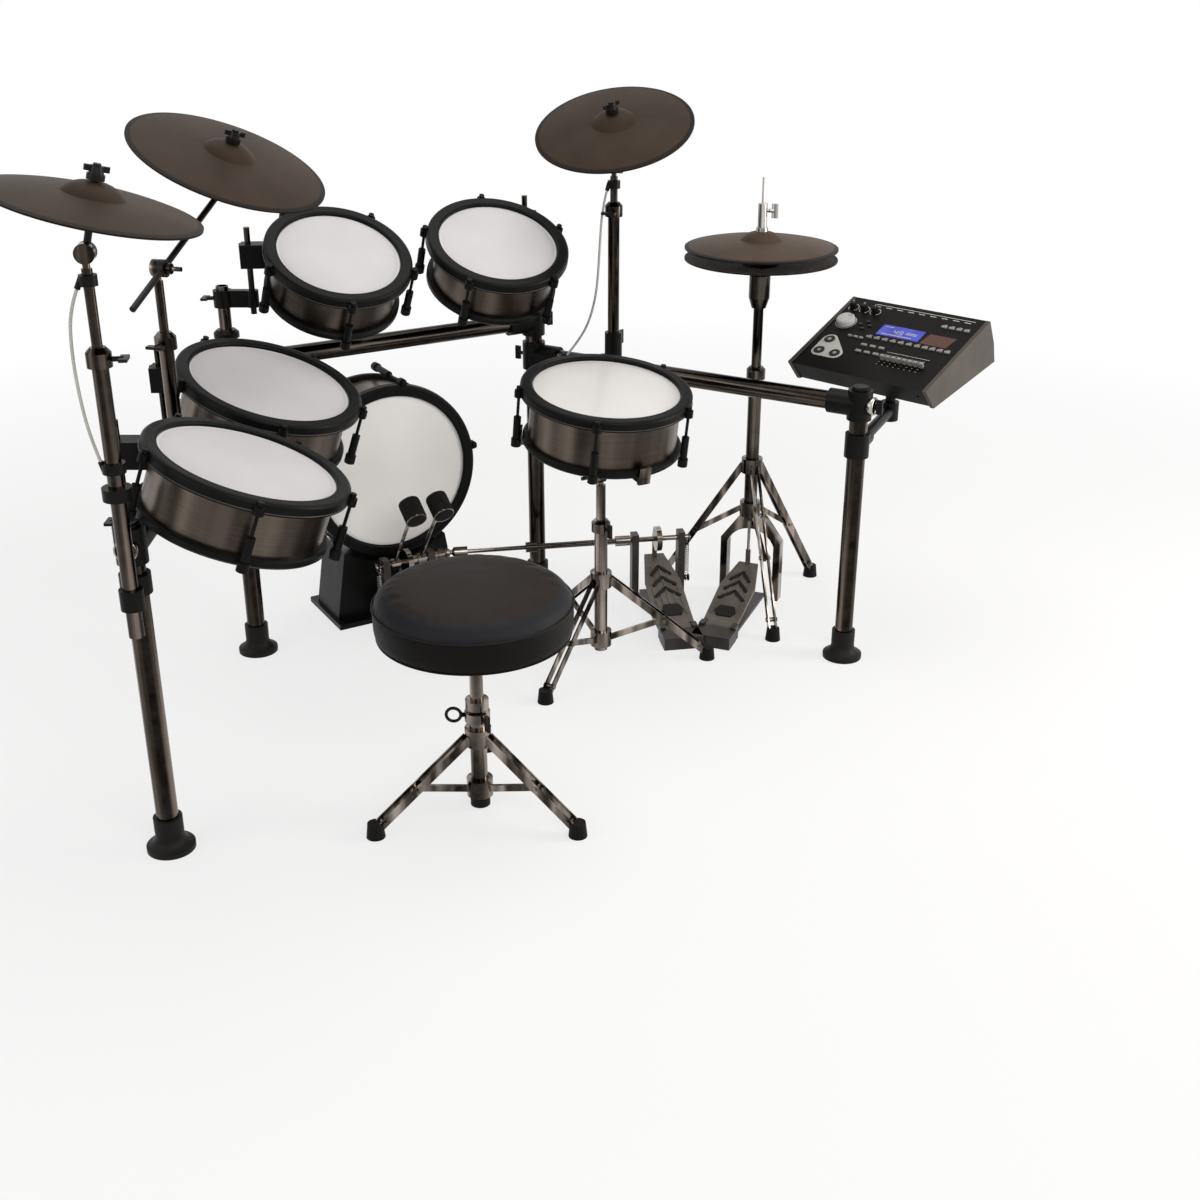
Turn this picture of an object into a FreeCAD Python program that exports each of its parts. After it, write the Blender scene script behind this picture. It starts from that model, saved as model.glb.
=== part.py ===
import FreeCAD, Part
import Sketcher
import math
import os
import re
from FreeCAD import Placement, Rotation, Vector

# Driving sizes in millimetres and degrees. X runs to the hi-hat side, Y away from the player, Z up.
# Toms 1 and 2, kick and throne are placed from the middle of the front rail, on the floor. Toms 3
# and 4, the ride and the left crash go with the near left leg; hi-hat, second pedal, snare and
# module go with the near right leg.
SIZES = {
    # where the middle of the front rail stands from the kit's own origin
    "shift_x": -116.8, "shift_y": 416.7,
    # rack
    "front_span": 702, "side_span": 782, "corner_turn": 60,
    "front_rail_z": 650, "side_rail_z": 572, "rail_inset": 30,
    "tube_dia": 38, "tube_wall": 2, "tube_slack": 0.1,
    "near_leg_top": 606, "far_leg_top": 705, "module_leg_top": 606, "leg_lift": 12,
    "foot_top_dia": 50, "foot_flare_dia": 84, "foot_tall": 64, "foot_rim": 9,
    "clamp_wall": 6.5, "clamp_tall": 62, "clamp_arm": 66,
    "bolt_dia": 8, "wing_span": 30, "wing_thick": 5,
    "post_dia": 25, "post_start": 640, "pair_tall": 34, "cross_long": 46, "clamp_drop": 46,
    "near_stop_z": 672, "mast_left_clamp": 505,
    # drums
    "small_head": 254, "large_head": 305, "kick_head": 356,
    "small_depth": 98, "large_depth": 104, "snare_depth": 112, "kick_depth": 150,
    "head_thick": 1, "flesh_wide": 5, "flesh_tall": 9, "shell_wall": 5, "hoop_wide": 15,
    "hoop_rise": 8, "hoop_skirt": 13, "hoop_lip": 5, "hoop_clear": 1,
    "base_wide": 11, "base_tall": 16, "base_lap": 9,
    "lugs": 5, "lug_dia": 15, "lug_share": 0.5, "lug_out": 8,
    "rod_dia": 6, "rod_cap_dia": 11, "rod_cap_tall": 8, "rod_slack": 0.3,
    "cone_dia": 46, "bridge_wide": 34, "bridge_thick": 4, "bridge_drop": 46,
    "tom_rod_dia": 12, "running_slack": 0.05,
    "bracket_wide": 42, "bracket_tall": 46, "bracket_wall": 9,
    "bracket_drop": 50, "rod_below": 60, "rod_above": 32, "tom3_side": 60, "tom4_side": 31,
    "tom1_x": -148, "tom1_y": -126, "tom1_z": 871, "tom2_x": 180, "tom2_y": -174, "tom2_z": 869,
    "tom3_x": 366, "tom3_y": 352.2, "tom3_z": 692, "tom4_x": 201, "tom4_y": -4.8, "tom4_z": 672,
    "small_reach": 172,
    "snare_x": -479, "snare_y": 206.2, "snare_z": 622, "kick_y": 20, "kick_z": 348,
    "kick_base_wide": 300, "kick_base_deep": 128, "kick_waist": 236, "kick_waist_z": 210,
    "kick_plate_tall": 12, "kick_saddle_wide": 130, "kick_lug_turn": -28, "kick_wall": 9,
    # cymbals
    "crash_left_dia": 312, "ride_dia": 356, "crash_right_dia": 330, "hat_dia": 330,
    "cup_dia": 84, "cup_rise": 22, "bow_rise": 15,
    "cymbal_thick": 4.5, "edge_thick": 3, "cymbal_hole": 13,
    "cymbal_rod": 11, "felt_dia": 26, "felt_tall": 8, "felt_gap": 3, "nut_tall": 12,
    "tilter_dia": 30, "cheek": 12, "cheek_gap": 0.3, "pin_dia": 8,
    "drop_short": 64, "drop_long": 85, "crash_right_joint_z": 1004,
    "mast_dia": 25, "mast_upper": 16, "collar_dia": 38, "collar_tall": 30,
    "mast_left_foot": 440, "mast_left_collar": 880, "mast_ride_collar": 800, "mast_right_collar": 900,
    "socket_tall": 78, "socket_gap": 25, "boom_dia": 11, "boom_tail": 120,
    "crash_left_x": -3, "crash_left_y": -56.8, "crash_left_z": 1108,
    "ride_x": 344, "ride_y": 412.2, "ride_z": 1085, "ride_mast_along": 335, "ride_tilter_z": 940,
    "crash_right_along": 206,
    # hi-hat
    "hat_x": -5, "hat_y": 353.2, "hat_z": 828, "hat_gap": 20, "hat_reach": 222, "hat_turn": 10,
    "hat_rod_dia": 7, "hat_rod_top": 978, "clutch_dia": 20, "clutch_tall": 58, "cup_base_dia": 46,
    "hat_tube_top": 700, "hat_tube_dia": 22, "hat_wide_dia": 30,
    "hat_joint_z": 540, "hat_low_z": 232, "hat_hub_z": 337,
    "hat_rod_low": 128, "hat_pedal_long": 219, "hat_toe_z": 88,
    "hat_heading": 38, "yoke_wide": 112, "yoke_bar": 16, "yoke_top": 205,
    # tripods
    "strap_wide": 15, "strap_thick": 3, "strap_space": 16, "brace_thick": 7,
    "puck_dia": 34, "puck_tall": 28,
    "hub_wall": 9, "hub_tall": 34,
    # snare stand
    "snare_stand_x": -462, "snare_stand_y": 257.2, "snare_reach": 232, "snare_turn": -30,
    "snare_tube_dia": 28, "snare_inner_dia": 20,
    "snare_mid_z": 300, "snare_top_z": 424, "snare_hub_z": 190, "snare_low_z": 52,
    "basket_arm": 11, "basket_lip": 26, "tilt_barrel": 26,
    # pedals
    "axle_z": 150, "axle_dia": 12, "post_gap": 110, "pedal_post": 16, "pedal_long": 262,
    "board_wide": 88, "board_toe": 46, "board_thick": 7,
    "heel_z": 24, "toe_z": 92, "heel_long": 62, "pedal_plate": 7,
    "pin_rod": 6, "rib_step": 15, "rib_wide": 4, "rib_tall": 1.5,
    "cam_dia": 58, "cam_wide": 12, "chain_wide": 11, "chain_thick": 4,
    "beater_long": 205, "beater_dia": 46, "beater_wide": 50, "beater_lean": 36,
    "beater_rod": 8, "beater_side": 32,
    "kick_axle_y": -34, "slave_x": -181, "slave_y": 472.2, "shaft_dia": 14, "joint_dia": 24,
    # throne
    "throne_x": -215, "throne_y": -827, "seat_dia": 352, "seat_under": 346,
    "seat_band": 74, "seat_crown": 24, "seat_bevel": 30, "seat_seam": 3,
    "throne_reach": 206, "throne_turn": 60, "throne_tube_dia": 30, "throne_post_dia": 24,
    "throne_tube_top": 178, "throne_low_z": 42, "throne_hub_z": 146,
    "pivot_dia": 18, "seat_plate_dia": 150, "seat_plate": 5, "seat_boss_dia": 44, "seat_boss": 34,
    # sound module
    "module_x": 187, "module_y": 141.2, "module_z": 645, "module_turn": -72.6, "module_tilt": 22.4,
    "module_wide": 345, "module_deep": 265, "module_front": 52, "module_front_set": 20,
    "module_back": 98, "module_pivot_y": -10, "module_pivot_drop": 98, "module_arm_z": 486,
    "cheek_wide": 9, "screen_wide": 104, "screen_deep": 38, "screen_x": 8, "screen_y": 38,
    "dial_x": -133, "dial_y": 39, "dial_dia": 42, "dial_tall": 13, "knob_dia": 17, "knob_tall": 15,
    "key_dia": 24, "key_tall": 5, "key_slack": 0.4,
    "fader_count": 8, "fader_step": 13.5, "fader_y": -60, "fader_travel": 30,
    "fader_wide": 9, "fader_tall": 11, "slot_wide": 2.4,
    "jack_dia": 7, "jack_x": 144, "jack_deep": 24,
    # cables
    "cable_dia": 5,
}

doc = FreeCAD.newDocument("electronic_drum_kit")
dims = doc.addObject("Spreadsheet::Sheet", "dims")
for row, (alias, value) in enumerate(SIZES.items(), 1):
    dims.set(f"A{row}", alias)
    dims.set(f"B{row}", str(value))
    dims.setAlias(f"B{row}", alias)
doc.recompute()

WORD = re.compile(r"[a-z][a-z0-9_]*")
UP = Vector(0, 0, 1)
NODES = {}


def bound(text):
    """Turn size names in an expression into references to the sheet."""
    def named(word):
        return "dims." + word.group() if word.group() in SIZES else word.group()
    return WORD.sub(named, str(text))


def num(text):
    """Value of an expression of size names."""
    return float(dims.evalExpression(bound(text)))


def here(x, y, z):
    """A place given from the middle of the front rail, in the kit's own frame."""
    return Vector(num(x) + num("shift_x"), num(y) + num("shift_y"), num(z))


def beside(leg, x, y, z):
    """A place given from the foot of a leg, in the kit's own frame."""
    return LEG[leg] + Vector(num(x), num(y), num(z))


def along(direction, base=None):
    """Placement whose local Z runs along a direction."""
    return Placement(base or Vector(), Rotation(UP, Vector(direction)))


def moved(x, y, z):
    """Placement that only shifts."""
    return Placement(Vector(x, y, z), Rotation())


def framed(base, x_axis, z_axis):
    """Placement from an X direction and an exact Z direction."""
    z_axis = Vector(z_axis).normalize()
    x_axis = Vector(x_axis) - z_axis * z_axis.dot(x_axis)
    x_axis.normalize()
    return Placement(base, Rotation(x_axis, z_axis.cross(x_axis), z_axis, "ZXY"))


def turned(degrees, base=None):
    return Placement(base or Vector(), Rotation(UP, degrees))


def add(label, *pieces):
    NODES.setdefault(label, []).extend(pieces)


def primitive(kind, name, at, **sizes):
    piece = doc.addObject("Part::" + kind, name)
    for prop, text in sizes.items():
        piece.setExpression(prop, bound(text))
    piece.Placement = at
    return piece


def cylinder(name, dia, height, at):
    return primitive("Cylinder", name, at, Radius=f"({dia}) / 2", Height=height)


def centred(name, dia, height, at):
    """Cylinder with its middle at the placement."""
    return cylinder(name, dia, height, at.multiply(moved(0, 0, -num(height) / 2)))


def box(name, x, y, z, at, middle="xy"):
    """Box centred on the placement along the named axes."""
    shift = [-num(size) / 2 if axis in middle else 0 for axis, size in zip("xyz", (x, y, z))]
    return primitive("Box", name, at.multiply(moved(*shift)), Length=x, Width=y, Height=z)


def fuse(name, *pieces):
    joined = doc.addObject("Part::MultiFuse", name)
    joined.Shapes = list(pieces)
    return joined


def cut(name, base, *tools):
    result = doc.addObject("Part::Cut", name)
    result.Base = base
    result.Tool = tools[0] if len(tools) == 1 else fuse(name + "_tools", *tools)
    return result


def pipe(name, dia, wall, length, at):
    outer = cylinder(name + "_outer", dia, length, at)
    inner = cylinder(name + "_bore", f"{dia} - 2 * {wall}", length, at)
    return cut(name, outer, inner)


def lock(sketch, geometry, end, x, y):
    """Hold a sketch point at expressions of the sheet."""
    for axis, line, text in (("DistanceX", -2, x), ("DistanceY", -1, y)):
        if str(text) == "0":
            sketch.addConstraint(Sketcher.Constraint("PointOnObject", geometry, end, line))
            continue
        index = sketch.addConstraint(Sketcher.Constraint(axis, -1, 1, geometry, end, num(text)))
        sketch.setExpression(f"Constraints[{index}]", bound(text))


def draw(body, name, role, corners):
    """Closed outline. A corner with a third item is reached by an arc through that point."""
    plane = next(feature for feature in body.Origin.OriginFeatures if feature.Role == role)
    sketch = body.newObject("Sketcher::SketchObject", name)
    sketch.AttachmentSupport = [(plane, "")]
    sketch.MapMode = "FlatFace"
    spots = [Vector(num(corner[0]), num(corner[1]), 0) for corner in corners]
    ends = []
    for index, corner in enumerate(corners):
        before, spot = spots[index - 1], spots[index]
        if len(corner) == 2:
            ends.append((sketch.addGeometry(Part.LineSegment(before, spot), False), 1, 2))
            continue
        via = Vector(num(corner[2][0]), num(corner[2][1]), 0)
        if (via - before).cross(spot - via).z > 0:
            ends.append((sketch.addGeometry(Part.Arc(before, via, spot), False), 1, 2))
        else:
            ends.append((sketch.addGeometry(Part.Arc(spot, via, before), False), 2, 1))
    for index, (line, start, end) in enumerate(ends):
        follower, first, last = ends[(index + 1) % len(ends)]
        sketch.addConstraint(Sketcher.Constraint("Coincident", line, end, follower, first))
    for (line, start, end), corner in zip(ends, corners):
        lock(sketch, line, end, corner[0], corner[1])
        if len(corner) == 3:
            via = Vector(num(corner[2][0]), num(corner[2][1]), 0)
            point = sketch.addGeometry(Part.Point(via), True)
            sketch.addConstraint(Sketcher.Constraint("PointOnObject", point, 1, line))
            lock(sketch, point, 1, *corner[2])
    return sketch


def lathe(name, corners, at=None):
    """Body turned about Z from an outline of radius and height."""
    body = doc.addObject("PartDesign::Body", name)
    sketch = draw(body, name + "_profile", "XZ_Plane", corners)
    turn = body.newObject("PartDesign::Revolution", name + "_turn")
    turn.Profile = sketch
    turn.ReferenceAxis = (sketch, ["V_Axis"])
    turn.Angle = 360
    body.Placement = at or Placement()
    return body


def plate(name, corners, thickness, at, role="XY_Plane"):
    """Body padded from an outline."""
    body = doc.addObject("PartDesign::Body", name)
    sketch = draw(body, name + "_outline", role, corners)
    pad = body.newObject("PartDesign::Pad", name + "_pad")
    pad.Profile = sketch
    pad.setExpression("Length", bound(thickness))
    body.Placement = at
    return body


def ring_of(body, feature, name, sketch, count):
    """Repeat the last feature of a body about its Z axis."""
    pattern = body.newObject("PartDesign::PolarPattern", name)
    pattern.Originals = [feature]
    pattern.Axis = (sketch, ["N_Axis"])
    pattern.setExpression("Occurrences", bound(count))
    pattern.Angle = 360
    body.Tip = pattern


def circle_at(body, name, dia, reach, turn):
    """Sketch of one circle at a radius and angle about the body's Z axis."""
    plane = next(feature for feature in body.Origin.OriginFeatures if feature.Role == "XY_Plane")
    sketch = body.newObject("Sketcher::SketchObject", name)
    sketch.AttachmentSupport = [(plane, "")]
    sketch.MapMode = "FlatFace"
    spot = Rotation(UP, num(turn)).multVec(Vector(num(reach), 0, 0))
    sketch.addGeometry(Part.Circle(spot, UP, num(dia) / 2), False)
    size = sketch.addConstraint(Sketcher.Constraint("Radius", 0, num(dia) / 2))
    sketch.setExpression(f"Constraints[{size}]", bound(f"({dia}) / 2"))
    lock(sketch, 0, 3, f"({reach}) * cos({turn} * 1 deg)", f"({reach}) * sin({turn} * 1 deg)")
    return sketch


def bosses(body, name, dia, reach, turn, low, high, count):
    """Round bosses on a ring, from one height to another."""
    sketch = circle_at(body, name + "_circle", dia, reach, turn)
    sketch.setExpression("AttachmentOffset.Base.z", bound(low))
    pad = body.newObject("PartDesign::Pad", name)
    pad.Profile = sketch
    pad.setExpression("Length", bound(f"({high}) - ({low})"))
    ring_of(body, pad, name + "_ring", sketch, count)


def holes(body, name, dia, reach, turn, low, high, count):
    """Round through holes on a ring."""
    sketch = circle_at(body, name + "_circle", dia, reach, turn)
    sketch.setExpression("AttachmentOffset.Base.z", bound(high))
    pocket = body.newObject("PartDesign::Pocket", name)
    pocket.Profile = sketch
    pocket.setExpression("Length", bound(f"({high}) - ({low})"))
    ring_of(body, pocket, name + "_ring", sketch, count)


def wing_bolt(name, tip, direction, spread):
    """Wing bolt whose flat tip touches a clamp; the wings spread along a second direction."""
    at = framed(tip, spread, direction)
    shank = cylinder(name + "_shank", "bolt_dia", 16, at)
    wings = box(name + "_wings", "wing_span", "wing_thick", 13, at.multiply(moved(0, 0, 10)))
    return fuse(name, shank, wings)


# Rack: four legs, three rails, castings at the corners
turn = math.radians(num("corner_turn"))
half = num("front_span") / 2
run = Vector(math.cos(turn), math.sin(turn), 0)
mirror_run = Vector(math.cos(turn), -math.sin(turn), 0)
outward = Vector(-run.y, run.x, 0)
LEG = {
    "rear_left": here(-half, 0, 0),
    "rear_right": here(half, 0, 0),
}
LEG["front_left"] = LEG["rear_left"] - run * num("side_span")
LEG["front_right"] = LEG["rear_right"] + mirror_run * num("side_span")
TOPS = {"front_left": "near_leg_top", "rear_left": "far_leg_top",
        "rear_right": "far_leg_top", "front_right": "module_leg_top"}
BORE = "tube_dia + 2 * tube_slack"
SLEEVE = "tube_dia + 2 * tube_slack + 2 * clamp_wall"

for name, base in LEG.items():
    lifted = along(UP, base + UP * num("leg_lift"))
    leg_long = f"{TOPS[name]} - leg_lift"
    add("rack_legs", pipe(f"leg_{name}", "tube_dia", "tube_wall", leg_long, lifted))
    add("rack_feet", lathe(f"foot_{name}", [
        (0, 0), ("foot_flare_dia / 2", 0), ("foot_flare_dia / 2", "foot_rim"),
        ("foot_top_dia / 2", "foot_tall * 0.55", ("foot_top_dia / 2 + 4", "foot_tall * 0.28")),
        ("foot_top_dia / 2", "foot_tall"), (f"({BORE}) / 2", "foot_tall"),
        (f"({BORE}) / 2", "leg_lift"), (0, "leg_lift")], turned(0, base)))

PLUG = "tube_dia / 2 - tube_wall - tube_slack"
for name in ("front_left", "front_right"):
    add("rack_clamps", lathe(f"cap_{name}", [
        (0, -14), (PLUG, -14), (PLUG, "tube_slack"), ("tube_dia / 2", "tube_slack"),
        ("tube_dia / 2", 2), ("tube_dia / 2 - 3", 5), (0, 5)],
        turned(0, LEG[name] + UP * num(TOPS[name]))))

RAILS = {
    "left": (LEG["rear_left"], LEG["front_left"], "side_rail_z"),
    "front": (LEG["rear_left"], LEG["rear_right"], "front_rail_z"),
    "right": (LEG["rear_right"], LEG["front_right"], "side_rail_z"),
}
for name, (first, last, height) in RAILS.items():
    direction = (last - first).normalize()
    start = first + direction * num("rail_inset") + UP * num(height)
    rail_long = ("front_span" if name == "front" else "side_span") + " - 2 * rail_inset"
    rail_at = along(direction, start)
    add("rack_rails", pipe(f"rail_{name}", "tube_dia", "tube_wall", rail_long, rail_at))


def corner_clamp(name, leg, height, arms):
    """Casting round a leg with a socket for each rail that ends there."""
    middle = LEG[leg] + UP * num(height)
    solids = [centred(name + "_sleeve", SLEEVE, "clamp_tall", along(UP, middle))]
    bores = [centred(name + "_leg_bore", BORE, "clamp_tall", along(UP, middle))]
    for index, direction in enumerate(arms):
        solids.append(cylinder(f"{name}_arm{index}", SLEEVE, "clamp_arm", along(direction, middle)))
        socket = along(direction, middle + direction * (num("rail_inset") - num("tube_slack")))
        bores.append(cylinder(f"{name}_socket{index}", BORE, "clamp_arm", socket))
    add("rack_clamps", cut(name, fuse(name + "_solid", *solids), *bores))
    away = -sum(arms, Vector()).normalize()
    tip = middle + away * (num(SLEEVE) / 2 + 0.1)
    add("rack_wing_bolts", wing_bolt(name + "_bolt", tip, away, UP))


right_to_left = (LEG["rear_left"] - LEG["rear_right"]).normalize()
corner_clamp("clamp_front_left", "front_left", "side_rail_z", [run])
corner_clamp("clamp_rear_left_low", "rear_left", "side_rail_z", [-run])
corner_clamp("clamp_rear_left_high", "rear_left", "front_rail_z", [-right_to_left])
corner_clamp("clamp_rear_right_high", "rear_right", "front_rail_z", [right_to_left])
corner_clamp("clamp_rear_right_low", "rear_right", "side_rail_z", [mirror_run])
corner_clamp("clamp_front_right", "front_right", "side_rail_z", [-mirror_run])


def pair_clamp(name, first, first_dia, second, second_dia, middle_z):
    """Block that holds two upright tubes side by side."""
    low = middle_z - num("pair_tall") / 2
    gap = second - first
    gap.z = 0
    solids = []
    bores = []
    for index, (spot, dia) in enumerate(((first, first_dia), (second, second_dia))):
        at = along(UP, Vector(spot.x, spot.y, low))
        solids.append(cylinder(f"{name}_ring{index}", f"{dia} + 2 * clamp_wall", "pair_tall", at))
        bores.append(cylinder(f"{name}_bore{index}", f"{dia} + 2 * tube_slack", "pair_tall", at))
    web = Placement(Vector(first.x, first.y, low), Rotation(Vector(1, 0, 0), gap))
    solids.append(box(name + "_web", gap.Length, "clamp_wall * 2.6", "pair_tall", web, "y"))
    add("rack_clamps", cut(name, fuse(name + "_solid", *solids), *bores))
    side = UP.cross(gap).normalize()
    back = num(f"{first_dia} / 2 + clamp_wall") + 0.1
    tip = Vector(first.x, first.y, middle_z) - gap.normalize() * back
    add("rack_wing_bolts", wing_bolt(name + "_bolt", tip, -gap, side))


def cross_clamp(name, rail_point, direction, rod_point):
    """Casting round a rail that holds an upright rod beside it."""
    sleeve = centred(name + "_sleeve", SLEEVE, "cross_long", along(direction, rail_point))
    upright = along(UP, Vector(rod_point.x, rod_point.y, rail_point.z))
    holder = centred(name + "_holder", "tom_rod_dia + 2 * clamp_wall", "cross_long", upright)
    gap = upright.Base - rail_point
    web = Placement(rail_point, Rotation(Vector(1, 0, 0), gap))
    bridge = box(name + "_web", gap.Length, "cross_long * 0.7", "cross_long * 0.5", web, "yz")
    bores = [centred(name + "_rail_bore", BORE, "cross_long", along(direction, rail_point)),
             centred(name + "_rod_bore", "tom_rod_dia + 2 * tube_slack", "cross_long", upright)]
    add("rack_clamps", cut(name, fuse(name + "_solid", sleeve, holder, bridge), *bores))
    away = Vector(gap).normalize()
    tip = upright.Base + away * (num("tom_rod_dia / 2 + clamp_wall") + 0.1)
    add("rack_wing_bolts", wing_bolt(name + "_bolt", tip, away, direction))


def rail_socket(name, rail_point, direction):
    """Casting round a rail with a socket on top for an upright mast."""
    sleeve = centred(name + "_sleeve", SLEEVE, "cross_long * 1.3", along(direction, rail_point))
    upright = along(UP, rail_point)
    socket = cylinder(name + "_socket", "mast_dia + 2 * clamp_wall", "socket_tall", upright)
    bores = [centred(name + "_rail_bore", BORE, "cross_long * 1.3", along(direction, rail_point)),
             cylinder(name + "_mast_bore", "mast_dia + 2 * tube_slack", "socket_tall",
                      along(UP, rail_point + UP * num("socket_gap")))]
    add("rack_clamps", cut(name, fuse(name + "_solid", sleeve, socket), *bores))
    side = UP.cross(direction)
    reach = num("mast_dia / 2 + clamp_wall") + 0.1
    tip = rail_point + UP * (num("socket_tall") - 18) + side * reach
    add("rack_wing_bolts", wing_bolt(name + "_bolt", tip, side, UP))


# Drums: mesh head, hoop with ears, tension rods, brushed shell and a base ring with lug posts
DRUM_POSE = {}
HOOP_OUT = "hoop_wide + flesh_wide"
EAR_TOP = "hoop_rise - 7"
LUG_TURN = "180 / lugs"


def drum(name, head, depth, at):
    """Shell, head and hardware of one pad; local Z leaves the head, which lies at height 0."""
    DRUM_POSE[name] = at
    shell_dia = f"{head} - 4"
    lug_reach = f"{head} / 2 + {HOOP_OUT} + lug_out / 2"
    edge = f"{head} / 2"
    flesh = f"{edge} - 1 + flesh_wide"
    add(f"{name}_head", lathe(f"{name}_head", [
        (0, "-head_thick"), (f"{edge} - 1", "-head_thick"), (f"{edge} - 1", "-flesh_tall"),
        (flesh, "-flesh_tall"), (flesh, "-head_thick"), (f"{edge} - 1", 0), (0, 0)], at))
    add(f"{name}_shell", pipe(f"{name}_shell", shell_dia, "shell_wall", f"{depth} - head_thick",
                              at.multiply(moved(0, 0, -num(depth)))))
    hoop_in = f"{edge} + flesh_wide - 0.6"
    hoop_out = f"{edge} + {HOOP_OUT}"
    hoop = lathe(f"{name}_hoop", [
        (f"{edge} - hoop_lip", "0.3"), (f"{edge} - hoop_lip", "hoop_rise * 0.6"),
        (f"{edge} + 2", "hoop_rise", (f"{edge} - hoop_lip + 2", "hoop_rise * 0.9")),
        (f"{hoop_out} - 7", "hoop_rise"),
        (hoop_out, EAR_TOP, (f"{hoop_out} - 2", "hoop_rise - 2")),
        (hoop_out, "-hoop_skirt"), (hoop_in, "-hoop_skirt"), (hoop_in, "0.3")], at)
    bosses(hoop, f"{name}_ears", "lug_dia + 3", lug_reach, LUG_TURN, "-hoop_skirt", EAR_TOP, "lugs")
    holes(hoop, f"{name}_ear_holes", "rod_dia + 2 * rod_slack", lug_reach, LUG_TURN,
          "-hoop_skirt", EAR_TOP, "lugs")
    base_out = f"({shell_dia}) / 2 + base_wide"
    base_in = f"({shell_dia}) / 2 + 0.3"
    base_low = f"-{depth} - base_tall + base_lap"
    base_high = f"-{depth} + base_lap"
    base = lathe(f"{name}_base", [
        (0, base_low), (f"{base_out} - 4", base_low), (base_out, f"{base_low} + 4"),
        (base_out, f"{base_high} - 3"), (f"{base_out} - 4", base_high),
        (base_in, base_high), (base_in, f"-{depth}"), (0, f"-{depth}")], at)
    lug_top = f"-{depth} * lug_share"
    bosses(base, f"{name}_feet", "lug_dia + 5", lug_reach, LUG_TURN, base_low, base_high, "lugs")
    bosses(base, f"{name}_posts", "lug_dia", lug_reach, LUG_TURN, f"-{depth}", lug_top, "lugs")
    add(f"{name}_hardware", hoop, base)
    lug = Vector(num(lug_reach), 0, num(lug_top))
    cap_low = f"{EAR_TOP} - ({lug_top})"
    for index in range(int(num("lugs"))):
        spot = Rotation(UP, num(LUG_TURN) + index * 360 / num("lugs")).multVec(lug)
        add(f"{name}_hardware", lathe(f"{name}_rod{index}", [
            (0, 0), ("rod_dia / 2", 0), ("rod_dia / 2", cap_low), ("rod_cap_dia / 2", cap_low),
            ("rod_cap_dia / 2", f"{cap_low} + rod_cap_tall"), (0, f"{cap_low} + rod_cap_tall")],
            at.multiply(moved(*spot))))
    add_trigger(name, shell_dia, "head_thick", at)
    return at


def add_trigger(name, shell_dia, under, at):
    """Bridge across the shell with a foam cone that touches the head from below."""
    inner = f"{shell_dia} - 2 * shell_wall"
    seat = at.multiply(moved(0, 0, -num("bridge_drop + bridge_thick")))
    bar = box(f"{name}_bar", f"({inner}) * 1.1", "bridge_wide", "bridge_thick", seat)
    inside = cylinder(f"{name}_bar_limit", f"{inner} - 0.4", "bridge_thick", seat)
    bridge = doc.addObject("Part::Common", f"{name}_bridge")
    bridge.Base = bar
    bridge.Tool = inside
    add(f"{name}_hardware", bridge, lathe(f"{name}_cone", [
        (0, "-bridge_drop"), ("cone_dia / 2", "-bridge_drop"), ("cone_dia / 2", "-bridge_drop + 8"),
        ("cone_dia * 0.12", f"-{under} - 0.3"), (0, f"-{under} - 0.3")], at))


def bracket(name, head, at, reach):
    """Block on a tom's shell with an upright bore for its rod. Returns the bore's middle."""
    shell_dia = f"{head} - 4"
    middle = at.multVec(Vector(reach, 0, -num("bracket_drop")))
    flat = at.Rotation.multVec(Vector(1, 0, 0))
    flat.z = 0
    upright = Placement(middle, Rotation(Vector(1, 0, 0), flat))
    long = reach - num(shell_dia) / 2 + 26
    start = middle - flat.normalize() * (long - num("tom_rod_dia / 2 + bracket_wall"))
    body = Placement(start, upright.Rotation)
    block = box(name + "_block", long, "bracket_wide", "bracket_tall", body, "yz")
    nose = centred(name + "_nose", "tom_rod_dia + 2 * bracket_wall + 6", "bracket_tall",
                   along(UP, middle))
    seat = centred(name + "_seat", f"{shell_dia} + 0.3", 400, at)
    bore = centred(name + "_bore", "tom_rod_dia + 2 * running_slack", 200, along(UP, middle))
    under_hoop = at.multiply(moved(0, 0, -num("hoop_skirt + hoop_clear")))
    clear = cylinder(name + "_clear", f"{head} + 2 * ({HOOP_OUT}) + 2 * hoop_clear", 60, under_hoop)
    solid = fuse(name + "_bracket_solid", block, nose)
    add(f"{name}_hardware", cut(name + "_bracket", solid, seat, bore, clear))
    return middle


def tom_rod(name, middle, low, high):
    at = along(UP, Vector(middle.x, middle.y, low))
    add("tom_rods", cylinder(name, "tom_rod_dia", high - low, at))


def rail_frame(leg, direction, point):
    """Distance along a rail and sideways from it of a place."""
    offset = point - LEG[leg]
    return offset.dot(direction), offset.dot(UP.cross(direction))


TILT = {"tom1": Vector(0.021, -0.483, 0.875), "tom2": Vector(-0.039, -0.454, 0.89),
        "tom3": Vector(0.215, -0.247, 0.945), "tom4": Vector(0.309, -0.133, 0.942)}

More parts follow.
